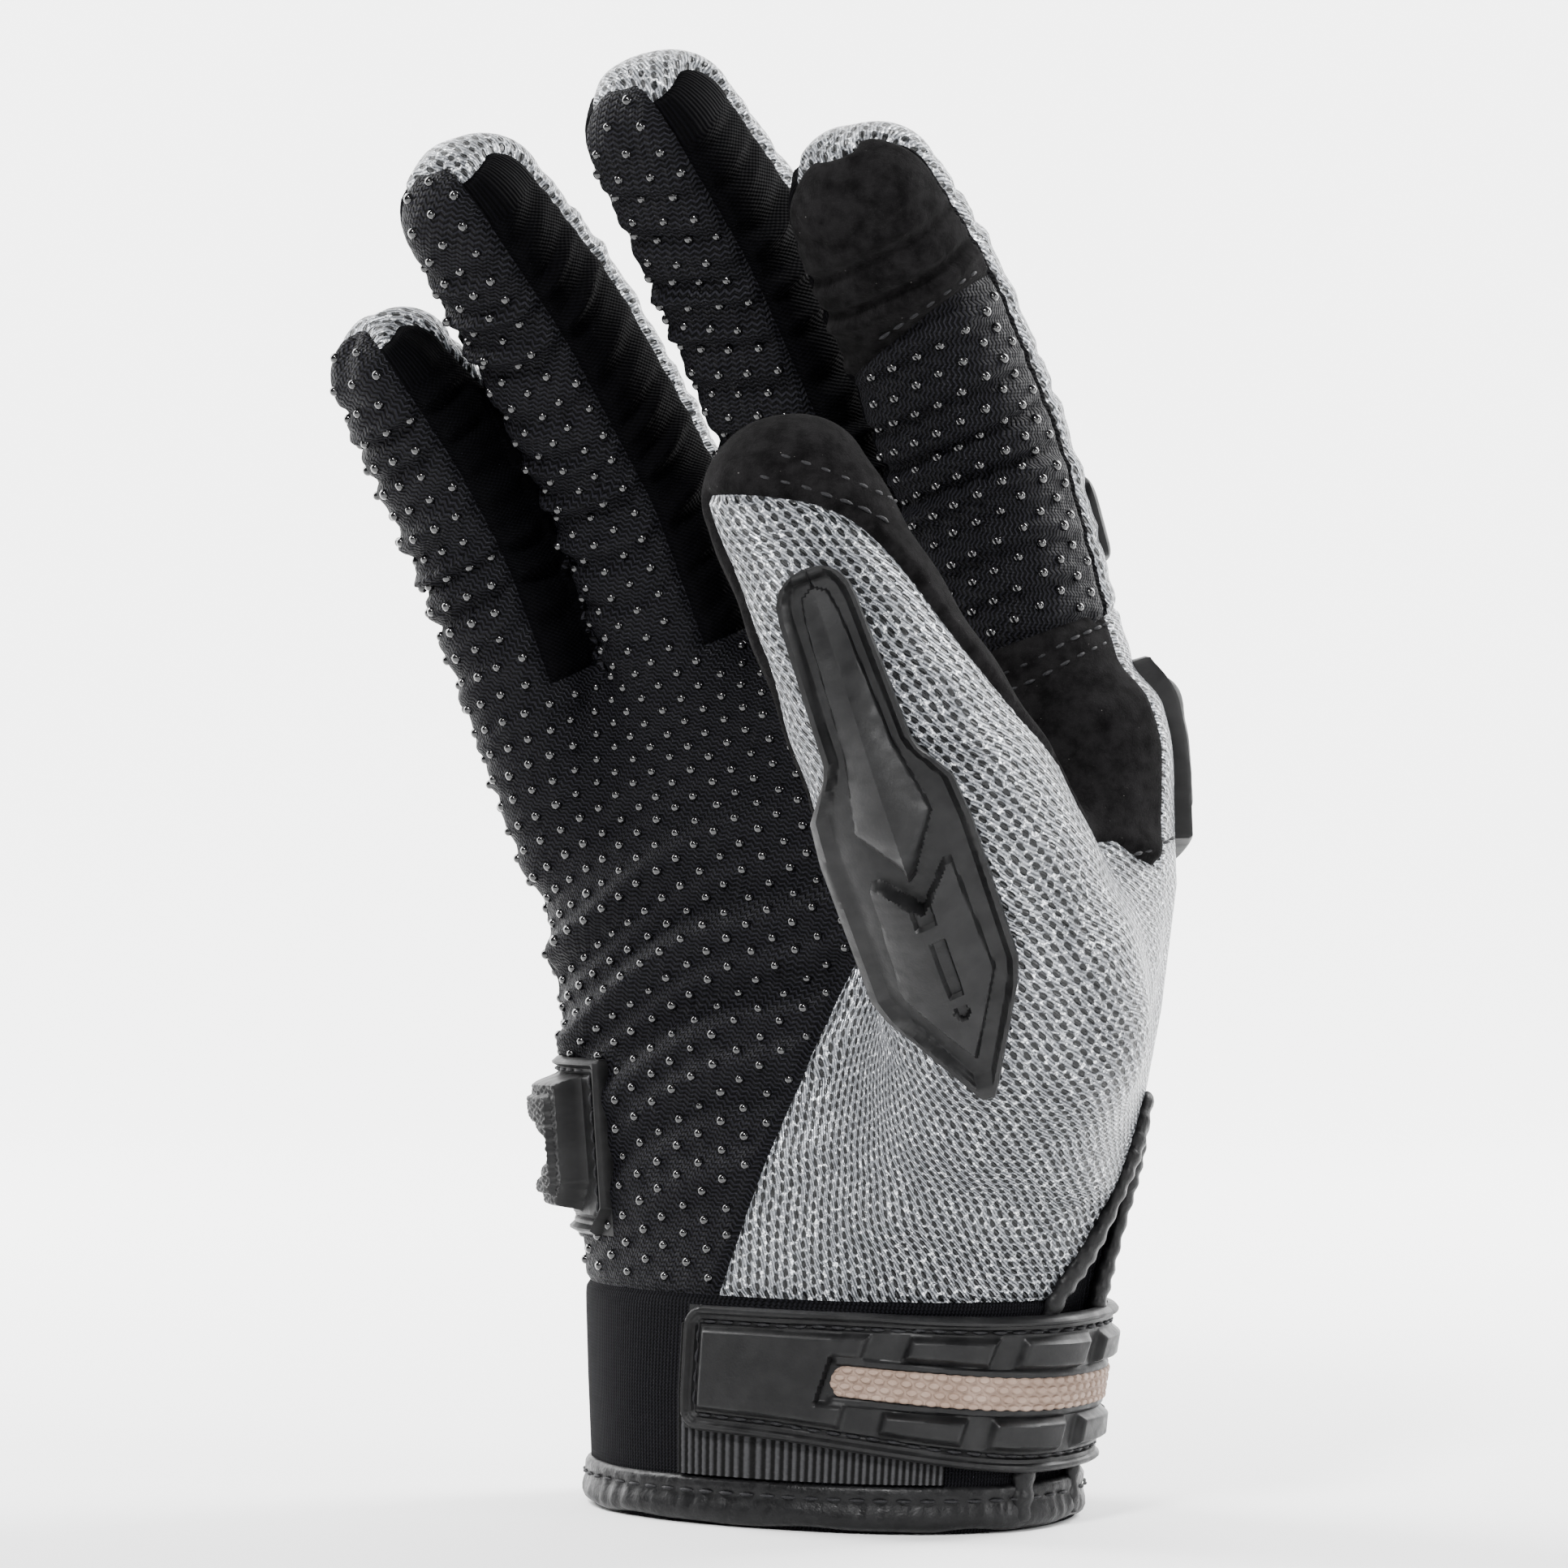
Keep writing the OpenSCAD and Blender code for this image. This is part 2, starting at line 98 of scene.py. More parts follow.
# ---------------------------------------------------------------- the form
# base, lean, (length, flex) of three segments, half widths, half depths, tip
FINGERS = {
    "index": dict(base=(41.5, -2, 118), lean=9.0, seg=[(50, 15), (29, 31), (20, 43)],
                  a=[13.4, 13.2, 12.8, 11.4], b=[15.5, 14.2, 13.0, 11.0], tip=10.5, cut=22),
    "middle": dict(base=(13.5, -1, 122), lean=11.5, seg=[(54, 14), (33, 31), (23, 43)],
                   a=[13.2, 13.2, 12.8, 11.2], b=[16.0, 14.2, 13.0, 11.0], tip=10.5, cut=22),
    "ring": dict(base=(-15, -2, 118), lean=15.5, seg=[(50, 15), (31.5, 31), (22, 42)],
                 a=[13.2, 13.0, 12.4, 10.8], b=[15.5, 14.0, 12.8, 10.8], tip=10.5, cut=22),
    "little": dict(base=(-40, -4, 107), lean=14.0, seg=[(52, 17), (19, 31), (15, 41)],
                   a=[12.2, 11.8, 11.0, 9.2], b=[14.5, 12.8, 11.8, 10.0], tip=9.5, cut=28),
}
# z, centre x, centre y, half width, half depth, squareness
PALM = np.array([
    (0, 0, 0, 40.0, 27, 2.3), (20, 0.5, 0, 41.5, 27, 2.3), (40, 2, 0, 44, 26, 2.3),
    (60, 3.5, -1, 48, 24, 2.4), (80, 4.5, -1, 51.5, 22.5, 2.5),
    (100, 4.5, -1.5, 54.5, 21, 2.6), (117, 3.5, -1.5, 54.5, 19.5, 2.7),
    (127, 2.5, -2, 54, 18, 2.7)])
PALM_ROUND = 13.0
THUMB = dict(points=[(28, -9, 52), (46, -26, 82), (43.5, -46, 110), (34, -58, 138), (24, -62, 160)],
             a=[17, 20.5, 18.5, 14.4, 12.2], b=[15, 18.5, 15, 13.2, 11.5], tip=10.5,
             side=(0.84, 0.50, 0.20))
WEB = dict(points=[(47, -14, 92), (50, -8, 122)], a=[11, 9], b=[11, 9], tip=9, side=(1, 0, 0))


class Tube:
    """A limb: a smooth centreline carrying a rounded section."""

    def __init__(self, points, a, b, tip, side, power, step=1.5, soften=7.0):
        points = np.array(points, float)
        sizes = np.stack([a, b], -1).astype(float)
        length = run_along(points)
        s = np.arange(-2 * soften, length[-1] + 2 * soften + step, step)
        self.s, self.power, self.tip = s, power, tip
        reach = np.exp(-0.5 * (np.arange(-3 * soften, 3 * soften + 0.01, step) / (soften * 0.6)) ** 2)
        reach /= reach.sum()

        def smooth(table):
            out = np.stack([np.interp(s, length, table[:, j]) for j in range(table.shape[1])], -1)
            first, last = s < 0, s > length[-1]
            out[first] += (s[first, None]) * (table[1] - table[0]) / length[1]
            out[last] += (s[last, None] - length[-1]) * (table[-1] - table[-2]) / (length[-1] - length[-2])
            pad = len(reach) // 2
            head = out[0] + (out[1] - out[0]) * np.arange(-pad, 0)[:, None]
            tail = out[-1] + (out[-1] - out[-2]) * np.arange(1, pad + 1)[:, None]
            full = np.concatenate([head, out, tail])
            return np.stack([np.convolve(full[:, j], reach, "valid") for j in range(full.shape[1])], -1)

        keep = (s > -0.01) & (s < length[-1] + 0.01)
        self.c, self.r, self.s = smooth(points)[keep], smooth(sizes)[keep], s[keep]
        self.t = unit(np.gradient(self.c, axis=0))
        side = unit(side)
        self.side = unit(side - self.t * (self.t @ side)[:, None])
        self.back = np.cross(self.t, self.side)
        self.low, self.high = self.c.min(0) - 24, self.c.max(0) + 24

    def local(self, p):
        """Nearest place on the centreline: s, side, back and along offsets, half sizes."""
        best = np.full(len(p), 1e9)
        near = np.zeros(len(p), int)
        for i, c in enumerate(self.c):
            d = ((p - c) ** 2).sum(1)
            q = d < best
            best[q] = d[q]
            near[q] = i
        n, h = len(self.c), self.s[1] - self.s[0]
        j = np.clip(near + ((p - self.c[near]) * self.t[near]).sum(1) / h, 0, n - 1)
        j0 = np.minimum(j.astype(int), n - 2)
        f = (j - j0)[:, None]

        def mix(table):
            return table[j0] * (1 - f) + table[j0 + 1] * f

        q = p - mix(self.c)
        u = (q * unit(mix(self.side))).sum(1)
        v = (q * unit(mix(self.back))).sum(1)
        w = (q * unit(mix(self.t))).sum(1)
        w = np.where(j > n - 1.001, np.maximum(w, 0), np.where(j < 0.001, np.minimum(w, 0), 0))
        return self.s[0] + j * h, u, v, w, mix(self.r), q

    def distance(self, p):
        out = np.linalg.norm(np.maximum(np.maximum(self.low - p, p - self.high), 0), axis=1) + 12
        inside = ((p > self.low) & (p < self.high)).all(1)
        if inside.any():
            _, u, v, w, r, q = self.local(p[inside])
            g = (np.abs(u) / r[:, 0]) ** self.power + (np.abs(v) / r[:, 1]) ** self.power
            g = np.sqrt(g ** (2 / self.power) + (w / self.tip) ** 2)
            d = np.linalg.norm(q, axis=1)
            out[inside] = np.where(d < 1e-3, -r.min(1), d * (1 - 1 / np.maximum(g, 1e-6)))
        return out


def lean_frame(f):
    lean = math.radians(f["lean"])
    return np.array([-math.sin(lean), 0, math.cos(lean)]), np.array([math.cos(lean), 0, math.sin(lean)])


def finger_points(f):
    along, _ = lean_frame(f)
    points = [np.array(f["base"], float)]
    for length, flex in f["seg"]:
        turn = math.radians(flex)
        points.append(points[-1] + length * (along * math.cos(turn) + PALMWARD * math.sin(turn)))
    return points


TUBES = {name: Tube(finger_points(f), f["a"], f["b"], f["tip"], (1, 0, 0.15), 2.8)
         for name, f in FINGERS.items()}
THUMB_TUBE = Tube(THUMB["points"], THUMB["a"], THUMB["b"], THUMB["tip"], THUMB["side"], 2.4)
WEB_TUBE = Tube(WEB["points"], WEB["a"], WEB["b"], WEB["tip"], WEB["side"], 2.2)


def palm_section(z):
    z = np.clip(z, PALM[0, 0], PALM[-1, 0])
    return [np.interp(z, PALM[:, 0], PALM[:, j]) for j in range(1, 6)]


def palm_distance(p):
    cx, cy, a, b, power = palm_section(p[:, 2])
    x, y, over = p[:, 0] - cx, p[:, 1] - cy, np.maximum(p[:, 2] - PALM[-1, 0], 0)
    g = (np.abs(x) / a) ** power + (np.abs(y) / b) ** power
    g = np.sqrt(g ** (2 / power) + (over / PALM_ROUND) ** 2)
    return np.sqrt(x * x + y * y + over * over) * (1 - 1 / np.maximum(g, 1e-6))


def palm_angle(p):
    """Degrees round the palm: 0 thumb side, 90 back, 180 little finger side, -90 palm."""
    cx, cy, a, b, power = palm_section(p[:, 2])
    x, y = (p[:, 0] - cx) / a, (p[:, 1] - cy) / b
    return np.degrees(np.arctan2(np.sign(y) * np.abs(y) ** (power / 2),
                                 np.sign(x) * np.abs(x) ** (power / 2)))


def field(p):
    """Rough distance to the smooth skin: negative inside the hand."""
    d = palm_distance(p)
    for tube in TUBES.values():
        d = soft_min(d, tube.distance(p), 4)
    d = soft_min(d, THUMB_TUBE.distance(p), 12)
    return soft_min(d, WEB_TUBE.distance(p), 10)


def gradient(p, h=0.4):
    """Outward directions at points near the skin."""
    steps = np.array([(1, -1, -1), (-1, -1, 1), (-1, 1, -1), (1, 1, 1)], float)
    return unit(sum(k[None] * field(p + k * h)[:, None] for k in steps))


# ---------------------------------------------------------------- skin mesh
def field_grid(low, high, h):
    """Field on a fine grid, worked out exactly only near the surface."""
    coarse = 4 * h
    count = np.ceil((np.array(high) - low) / coarse).astype(int) + 1
    axes = [low[i] + coarse * np.arange(count[i]) for i in range(3)]
    rough = field(np.stack(np.meshgrid(*axes, indexing="ij"), -1).reshape(-1, 3)).reshape(count)
    fine = rough
    for axis in range(3):
        n = fine.shape[axis]
        at = np.arange((n - 1) * 4 + 1) / 4
        i0 = np.minimum(at.astype(int), n - 2)
        f = at - i0
        shape = [1, 1, 1]
        shape[axis] = -1
        f = f.reshape(shape)
        fine = np.take(fine, i0, axis) * (1 - f) + np.take(fine, i0 + 1, axis) * f
    near = np.argwhere(np.abs(fine) < 1.5 * coarse)
    fine[tuple(near.T)] = field(np.array(low) + near * h)
    return fine


def surface_net(values, low, h):
    """Quads through the zero level of a grid, one vertex a mixed cell."""
    inside = values < 0
    nx, ny, nz = (n - 1 for n in values.shape)
    corner = [(i, j, k) for i in (0, 1) for j in (0, 1) for k in (0, 1)]
    total = sum(inside[i:nx + i, j:ny + j, k:nz + k].astype(np.int8) for i, j, k in corner)
    cells = np.argwhere((total > 0) & (total < 8))
    index = np.full((nx, ny, nz), -1)
    index[tuple(cells.T)] = np.arange(len(cells))
    place = np.zeros((len(cells), 3))
    hits = np.zeros(len(cells))
    for a in corner:
        for axis in range(3):
            if a[axis]:
                continue
            b = tuple(a[i] + (i == axis) for i in range(3))
            fa = values[tuple((cells + a).T)]
            fb = values[tuple((cells + b).T)]
            cross = (fa < 0) != (fb < 0)
            t = np.where(cross, fa / np.where(cross, fa - fb, 1), 0)
            place += cross[:, None] * (np.array(a) + t[:, None] * (np.array(b) - a))
            hits += cross
    points = np.array(low) + (cells + place / hits[:, None]) * h
    quads = []
    for axis in range(3):
        u, v = [i for i in range(3) if i != axis]
        lo = inside[tuple(slice(0, -1) if i == axis else slice(1, -1) for i in range(3))]
        hi = inside[tuple(slice(1, None) if i == axis else slice(1, -1) for i in range(3))]
        for flip in (False, True):
            at = np.argwhere((lo != hi) & (lo == flip))
            at[:, u] += 1
            at[:, v] += 1
            ring = []
            for du, dv in ((0, 0), (-1, 0), (-1, -1), (0, -1)):
                cell = at.copy()
                cell[:, u] += du
                cell[:, v] += dv
                ring.append(index[tuple(cell.T)])
            ring = np.stack(ring, -1)
            turn = flip if axis != 1 else not flip
            quads.append(ring if turn else ring[:, ::-1])
    return points, np.concatenate(quads)


# ---------------------------------------------------------------- cutting the skin
class Skin:
    """Triangles `f`, a panel name `label` for each, and tables `v` of values at the vertices."""

    def __init__(self, points, quads):
        a = np.linalg.norm(points[quads[:, 0]] - points[quads[:, 2]], axis=1)
        b = np.linalg.norm(points[quads[:, 1]] - points[quads[:, 3]], axis=1)
        first, second = quads[a <= b], quads[a > b]
        self.f = np.concatenate([first[:, [0, 1, 2]], first[:, [0, 2, 3]],
                                 second[:, [0, 1, 3]], second[:, [1, 2, 3]]])
        self.v = {"p": points}
        self.label = np.full(len(self.f), "hand", dtype=object)

    def cut(self, label, value, above):
        """Faces of a panel where the value is positive become the panel `above`."""
        value = value.copy()
        chosen = self.label == label
        edges = self.f[chosen][:, [[0, 1], [1, 2], [2, 0]]].reshape(-1, 2)
        edges = np.unique(np.sort(edges, 1), axis=0)
        for _ in range(2):
            va, vb = value[edges[:, 0]], value[edges[:, 1]]
            t = np.where(va * vb < 0, va / np.where(va == vb, 1, va - vb), 0.5)
            value[edges[(va * vb < 0) & (t < 0.12), 0]] = 0
            value[edges[(va * vb < 0) & (t > 0.88), 1]] = 0
        va, vb = value[edges[:, 0]], value[edges[:, 1]]
        edges = edges[va * vb < 0]
        if len(edges) == 0:
            self.label[chosen & (value[self.f].sum(1) > 0)] = above
            return
        va, vb = value[edges[:, 0]], value[edges[:, 1]]
        t = va / (va - vb)
        n = len(value)
        for key, table in self.v.items():
            w = t.reshape((-1,) + (1,) * (table.ndim - 1))
            extra = table[edges[:, 0]] * (1 - w) + table[edges[:, 1]] * w
            self.v[key] = np.concatenate([table, extra.astype(table.dtype)])
        value = np.concatenate([value, np.zeros(len(edges))])
        code = edges[:, 0].astype(np.int64) * n + edges[:, 1]
        order = np.argsort(code)
        code = code[order]
        f = self.f
        pair = np.sort(f[:, [[0, 1], [1, 2], [2, 0]]], axis=2).astype(np.int64)
        want = pair[..., 0] * n + pair[..., 1]
        at = np.minimum(np.searchsorted(code, want), len(code) - 1)
        hit = code[at] == want
        mid = np.where(hit, n + order[at], -1)
        count = hit.sum(1)
        faces, labels, own = [f[count == 0]], [self.label[count == 0]], [chosen[count == 0]]

        def add(tris, mask):
            faces.append(tris)
            labels.append(self.label[mask])
            own.append(chosen[mask])

        for k in range(3):
            a, b, c = k, (k + 1) % 3, (k + 2) % 3
            one = (count == 1) & hit[:, k]
            m = mid[one, k]
            add(np.stack([f[one, a], m, f[one, c]], 1), one)
            add(np.stack([m, f[one, b], f[one, c]], 1), one)
            two = (count == 2) & ~hit[:, c]
            m, o = mid[two, a], mid[two, b]
            add(np.stack([m, f[two, b], o], 1), two)
            add(np.stack([f[two, a], m, o], 1), two)
            add(np.stack([f[two, a], o, f[two, c]], 1), two)
        three = count == 3
        m, o, q = mid[three].T if three.any() else (np.zeros(0, int),) * 3
        for tri in ((f[three, 0], m, q), (m, f[three, 1], o), (q, o, f[three, 2]), (m, o, q)):
            add(np.stack(tri, 1), three)
        self.f, self.label, chosen = (np.concatenate(x) for x in (faces, labels, own))
        up = chosen & (value[self.f].sum(1) > 0)
        self.label[up] = above


def smooth_line(table):
    """A smooth function through a few (x, y) places."""
    xs, ys = np.array(table, float).T
    fine = np.linspace(xs[0], xs[-1], 200)
    y = np.interp(fine, xs, ys)
    k = np.ones(31) / 31
    y = np.convolve(np.concatenate([2 * y[0] - y[15:0:-1], y, 2 * y[-1] - y[-2:-17:-1]]), k, "valid")
    return lambda x: np.interp(x, fine, y)


def wrap(angle):
    return (angle + 180) % 360 - 180


# round sizes that turn an angle into a length of cloth, in millimetres
FINGER_RADIUS, THUMB_RADIUS, WRIST_RADIUS, PALM_RADIUS = 12.5, 14.0, 36.0, 50.0

# seams, in millimetres
CUFF_TOP = 35.5
palm_seam_x = smooth_line([(30, -9), (39, -5.5), (53, -0.5), (72, 8), (91, 17), (105, 25), (125, 30)])
patch_seam_x = smooth_line([(95, 33), (112, 27), (125, 21), (140, 16)])
patch_edge_z = smooth_line([(-22, 158), (-10, 157.5), (0, 156), (6.6, 152), (12.6, 144),
                            (19.9, 134), (27.3, 126), (37.7, 112.5), (46, 103.5), (64, 99)])
# the photo's view: its direction to the right, and the one towards the camera
VIEW_TURN = math.radians(28)
VIEW_SIDE = np.array([math.cos(VIEW_TURN), math.sin(VIEW_TURN), 0])
TO_VIEWER = np.array([VIEW_SIDE[1], -VIEW_SIDE[0], 0])
BACK_FROM, BACK_TO = 20.0, 152.0
PAD_X, PAD_Z = 5.4, 179.5
SLIT_HALF, SLIT_TOP = 10.5, 67.0
THUMB_SPLIT, THUMB_TIP_SEAM = 104.0, 131.5
FINGER_SPLIT = {"index": 42.5, "middle": 44.5, "ring": 42.5, "little": 45.0}
# half angles of the front and back panels: little finger side, thumb side
FRONT = {"index": (52, 97), "middle": (56, 36), "ring": (56, 37), "little": (78, 38)}
BACK = {"index": (72, 76), "middle": (70, 72), "ring": (70, 72), "little": (84, 72)}


def limb_values(skin):
    """Where each vertex lies on the fingers, the thumb and the palm."""
    p = skin.v["p"]
    best = np.full(len(p), 1e9)
    which = np.zeros(len(p))
    along, around, over = (np.zeros(len(p)) for _ in range(3))
    for i, tube in enumerate(TUBES.values()):
        d = tube.distance(p)
        near = d < best
        s, u, v, w, r, _ = tube.local(p[near])
        best[near], which[near], along[near] = d[near], i, s
        around[near] = np.degrees(np.arctan2(v / r[:, 1], u / r[:, 0]))
        over[near] = w
    s, u, v, w, r, _ = THUMB_TUBE.local(p)
    skin.v.update(finger=which, f_along=along, f_angle=around, f_over=over, f_dist=best,
                  t_along=s, t_angle=np.degrees(np.arctan2(v / r[:, 1], u / r[:, 0])),
                  t_over=w, t_dist=THUMB_TUBE.distance(p), p_dist=palm_distance(p),
                  p_angle=palm_angle(p))


def finger_seams(skin):
    v = skin.v
    for i, name in enumerate(FINGERS):
        mine = (np.round(v["finger"]) == i) & (v["f_dist"] < v["t_dist"] + 2)
        skin.cut("hand", np.where(mine, v["f_along"] - FINGERS[name]["cut"], -5), name + "_a")
        v = skin.v
        skin.cut(name + "_a", v["f_along"] - FINGER_SPLIT[name], name + "_b")
        v = skin.v
        if name == "index":
            top = 135 + (v["p"] @ VIEW_SIDE - 22) * 0.36 - v["p"][:, 2]
            side = (80 - np.abs(wrap(v["f_angle"] + 88))) * 0.22
            skin.cut("index_a", soft_min(top, side, 2.5), "web_top")
            v = skin.v
        end = TUBES[name].s[-1]
        for part in "ab":
            for kind, middle, halves in (("front", -90, FRONT[name]), ("back", 90, BACK[name])):
                v = skin.v
                off = wrap(v["f_angle"] - middle)
                flip = 1 if kind == "front" else -1
                half = np.where(off * flip < 0, halves[0], halves[1])
                width = (half - np.abs(off)) * 0.215
                reach = v["f_along"] + v["f_over"]
                if kind == "front":
                    value = soft_min(width, end + 9.8 - reach, 2.0)
                else:
                    value = -soft_min(-width, end + 7.6 - reach, 4.0)
                source = f"{name}_{part}"
                skin.cut(source, value, f"{name}_{part}_{kind}")


def touch_pad(skin):
    side, z = skin.v["p"] @ VIEW_SIDE, skin.v["p"][:, 2]
    skin.cut("index_b_front", (z - PAD_Z - (side - PAD_X) * 0.72) * 0.8, "index_pad")


def slit_middle(z):
    return np.interp(z, [28, 36, SLIT_TOP], [-8, -6, 10])


def slit_seam(skin):
    for label in ("cuff", "back", "thenar"):
        angle, z = skin.v["p_angle"], skin.v["p"][:, 2]
        half = 1.5 + SLIT_HALF * ramp(SLIT_TOP - z, -4, 34)
        value = soft_min((half - np.abs(angle - slit_middle(z))) * 0.75, SLIT_TOP - z, 4)
        skin.cut(label, value, "slit")


def hand_seams(skin):
    v = skin.v
    z = v["p"][:, 2]
    skin.cut("hand", -z, "waste")
    skin.cut("hand", CUFF_TOP - skin.v["p"][:, 2], "cuff")
    v = skin.v
    x, z, side = v["p"][:, 0], v["p"][:, 2], v["p"] @ VIEW_SIDE
    own = ramp(np.minimum(v["p_dist"], v["f_dist"]) - v["t_dist"], -2, 2)
    radius = PALM_RADIUS * math.pi / 180
    mesh_palm = np.minimum(x - palm_seam_x(z), (BACK_FROM - v["p_angle"]) * radius)
    mesh = own * 8 + (1 - own) * np.where(v["p_angle"] < -150, -8, mesh_palm)
    skin.cut("hand", mesh, "thenar")
    v = skin.v
    angle = v["p_angle"]
    skin.cut("hand", np.where(angle > 0, np.minimum(angle - BACK_FROM, BACK_TO - angle), -9)
             * radius, "back")
    v = skin.v
    skin.cut("hand", np.where(v["p_angle"] > 90, 9.0, -160 - v["p_angle"]) * radius, "ulnar")
    for label in ("thenar", "hand"):
        v = skin.v
        x, z, side = v["p"][:, 0], v["p"][:, 2], v["p"] @ VIEW_SIDE
        own = ramp(np.minimum(v["p_dist"], v["f_dist"]) - v["t_dist"], 0, 4)
        edge = (z - patch_edge_z(side)) * 0.72
        angle = wrap(v["t_angle"])
        left = 178 + 18 * ramp(z, 120, 134)
        from_left = np.where(angle < 0, left - (angle + 360), left - angle)
        from_right = np.where(angle < -90, angle + 360, angle) - 6
        hidden = soft_min(np.minimum(from_left, from_right) * 0.24, z - 107, 4)
        tip = v["t_along"] + v["t_over"] - THUMB_TIP_SEAM + 0.4 * (v["t_angle"] + 80) / 20
        thumb = np.maximum(np.maximum(edge, hidden), tip)
        palm = np.minimum(np.maximum(edge, z - 112), x - patch_seam_x(z))
        palm = soft_min(palm, (-8 - v["p_angle"]) * radius, 6.0)
        palm = np.where(v["p_angle"] < -120, -9, palm)
        value = own * np.clip(thumb, -4, 4) + (1 - own) * np.clip(palm, -4, 4)
        skin.cut(label, value, "suede")
    v = skin.v
    near_thumb = v["t_dist"] < np.minimum(v["p_dist"], v["f_dist"])
    skin.cut("suede", np.where(near_thumb, v["t_along"] - THUMB_SPLIT, -9), "suede_tip")
    v = skin.v
    near_thumb = v["t_dist"] < np.minimum(v["p_dist"], v["f_dist"])
    skin.cut("thenar", np.where(near_thumb, v["t_along"] - THUMB_SPLIT, -9), "thumb_mesh")


# which cloth each panel is cut from; panels of one cloth meet without a seam
CLOTH = {"hand": "knit", "ulnar": "ulnar", "back": "mesh", "thenar": "thenar",
         "thumb_mesh": "thenar", "suede": "suede", "suede_tip": "suede", "web_top": "suede",
         "index_pad": "pad", "cuff": "cuff", "slit": "slit", "waste": "cuff"}
for finger in FINGERS:
    for part in "ab":
        CLOTH[f"{finger}_{part}"] = "wall_" + finger
        CLOTH[f"{finger}_{part}_front"] = "knit"
        CLOTH[f"{finger}_{part}_back"] = "mesh"


def seam_distance(skin):
    """Distance to the nearest seam, and its cloths, for every vertex."""
    names = sorted(set(CLOTH.values()))
    code = {label: names.index(cloth) for label, cloth in CLOTH.items()}
    face = np.array([code[label] for label in skin.label])
    low = np.full(len(skin.v["p"]), 99)
    high = np.full(len(skin.v["p"]), -1)
    for corner in range(3):
        np.minimum.at(low, skin.f[:, corner], face)
        np.maximum.at(high, skin.f[:, corner], face)
    on_seam = np.flatnonzero((low < high) & (high >= 0))
    tree = KDTree(len(on_seam))
    p = skin.v["p"]
    for n, i in enumerate(on_seam):
        tree.insert(p[i], n)
    tree.balance()
    distance = np.array([tree.find(q)[2] for q in p])
    raised = np.isin(low, [names.index("suede"), names.index("pad")])
    raised &= low == high
    return distance, raised


def wrinkle(skin):
    """Height of the creases worn into the cloth, in millimetres."""
    v = skin.v
    p, s, turn = v["p"], v["f_along"], np.radians(v["f_angle"])
    i = np.round(v["finger"])
    on_finger = ramp(v["p_dist"] - v["f_dist"], -3, 6) * ramp(v["t_dist"] - v["f_dist"], 0, 8)
    palm_side = 0.35 + 0.65 * ramp(np.cos(turn + math.pi / 2), -0.2, 0.6)
    phase = 1.6 * np.sin(1.7 * turn + 2.1 * i) + 0.9 * np.sin(s * 0.21 + 3 * i)
    crease = np.sin(s * 0.86 + phase) + 0.6 * np.sin(s * 1.53 + 2.2 * phase + i)
    bent = 0.35 + 0.65 * np.maximum(bump(s, 50, 16), bump(s, 84, 12))
    height = 0.8 * on_finger * palm_side * bent * crease
    x, y, z = p.T
    on_palm = ramp(v["f_dist"] - v["p_dist"], 0, 6) * ramp(z, 38, 52) * ramp(-y, 4, 12)
    on_palm *= ramp(v["t_dist"] - v["p_dist"], 0, 10)
    line = z - 0.45 * x
    fold = np.sin(line * 0.36 + 1.4 * np.sin(x * 0.07)) + 0.7 * np.sin(line * 0.81 + 2 * np.sin(x * 0.11))
    height += 0.8 * on_palm * fold * (0.35 + bump(z, 88, 26))
    on_thumb = ramp(np.minimum(v["p_dist"], v["f_dist"]) - v["t_dist"], 0, 8)
    run = v["t_along"]
    height += 0.22 * on_thumb * np.sin(run * 0.42 + 1.8 * np.sin(np.radians(v["t_angle"]) + 0.4))
    heel = ramp(x, 4, 26) * bump(z, 50, 13) * ramp(-y, 0, 10)
    height += 0.5 * heel * np.sin(z * 0.5 + x * 0.11)
    cuff = ramp(CUFF_TOP - z, 0, 3)
    return height * (1 - cuff) + 0.25 * cuff * np.sin(palm_angle(p) * 0.14)


SEAM_WIDE, SEAM_DEEP, PATCH_RISE, SLIT_DEEP = 1.3, 0.75, 0.5, 1.6


def dress(skin):
    """Moves the skin out and in: creases, seam grooves, patches, the slit."""
    keep = skin.label != "waste"
    skin.f, skin.label = skin.f[keep], skin.label[keep]
    p = skin.v["p"]
    out = gradient(p)
    distance, raised = seam_distance(skin)
    skin.v["seam"] = distance
    skin.v["base"] = p.copy()
    height = wrinkle(skin) * ramp(distance, -1, 3)
    height += PATCH_RISE * raised * ramp(distance, 0, SEAM_WIDE)
    height -= SEAM_DEEP * (1 - ramp(distance, 0, SEAM_WIDE))
    in_slit = np.zeros(len(p), bool)
    in_slit[skin.f[skin.label == "slit"].ravel()] = True
    height -= SLIT_DEEP * in_slit * ramp(distance, 0, 2.5)
    rim = ramp(p[:, 2], 0, 3)
    skin.v["p"] = p + out * (height * rim)[:, None]
    f, q = skin.f, skin.v["p"]
    normal = np.cross(q[f[:, 1]] - q[f[:, 0]], q[f[:, 2]] - q[f[:, 0]])
    total = np.zeros_like(q)
    for corner in range(3):
        np.add.at(total, f[:, corner], normal)
    skin.v["n"] = unit(total)
    skin.v["out"] = out


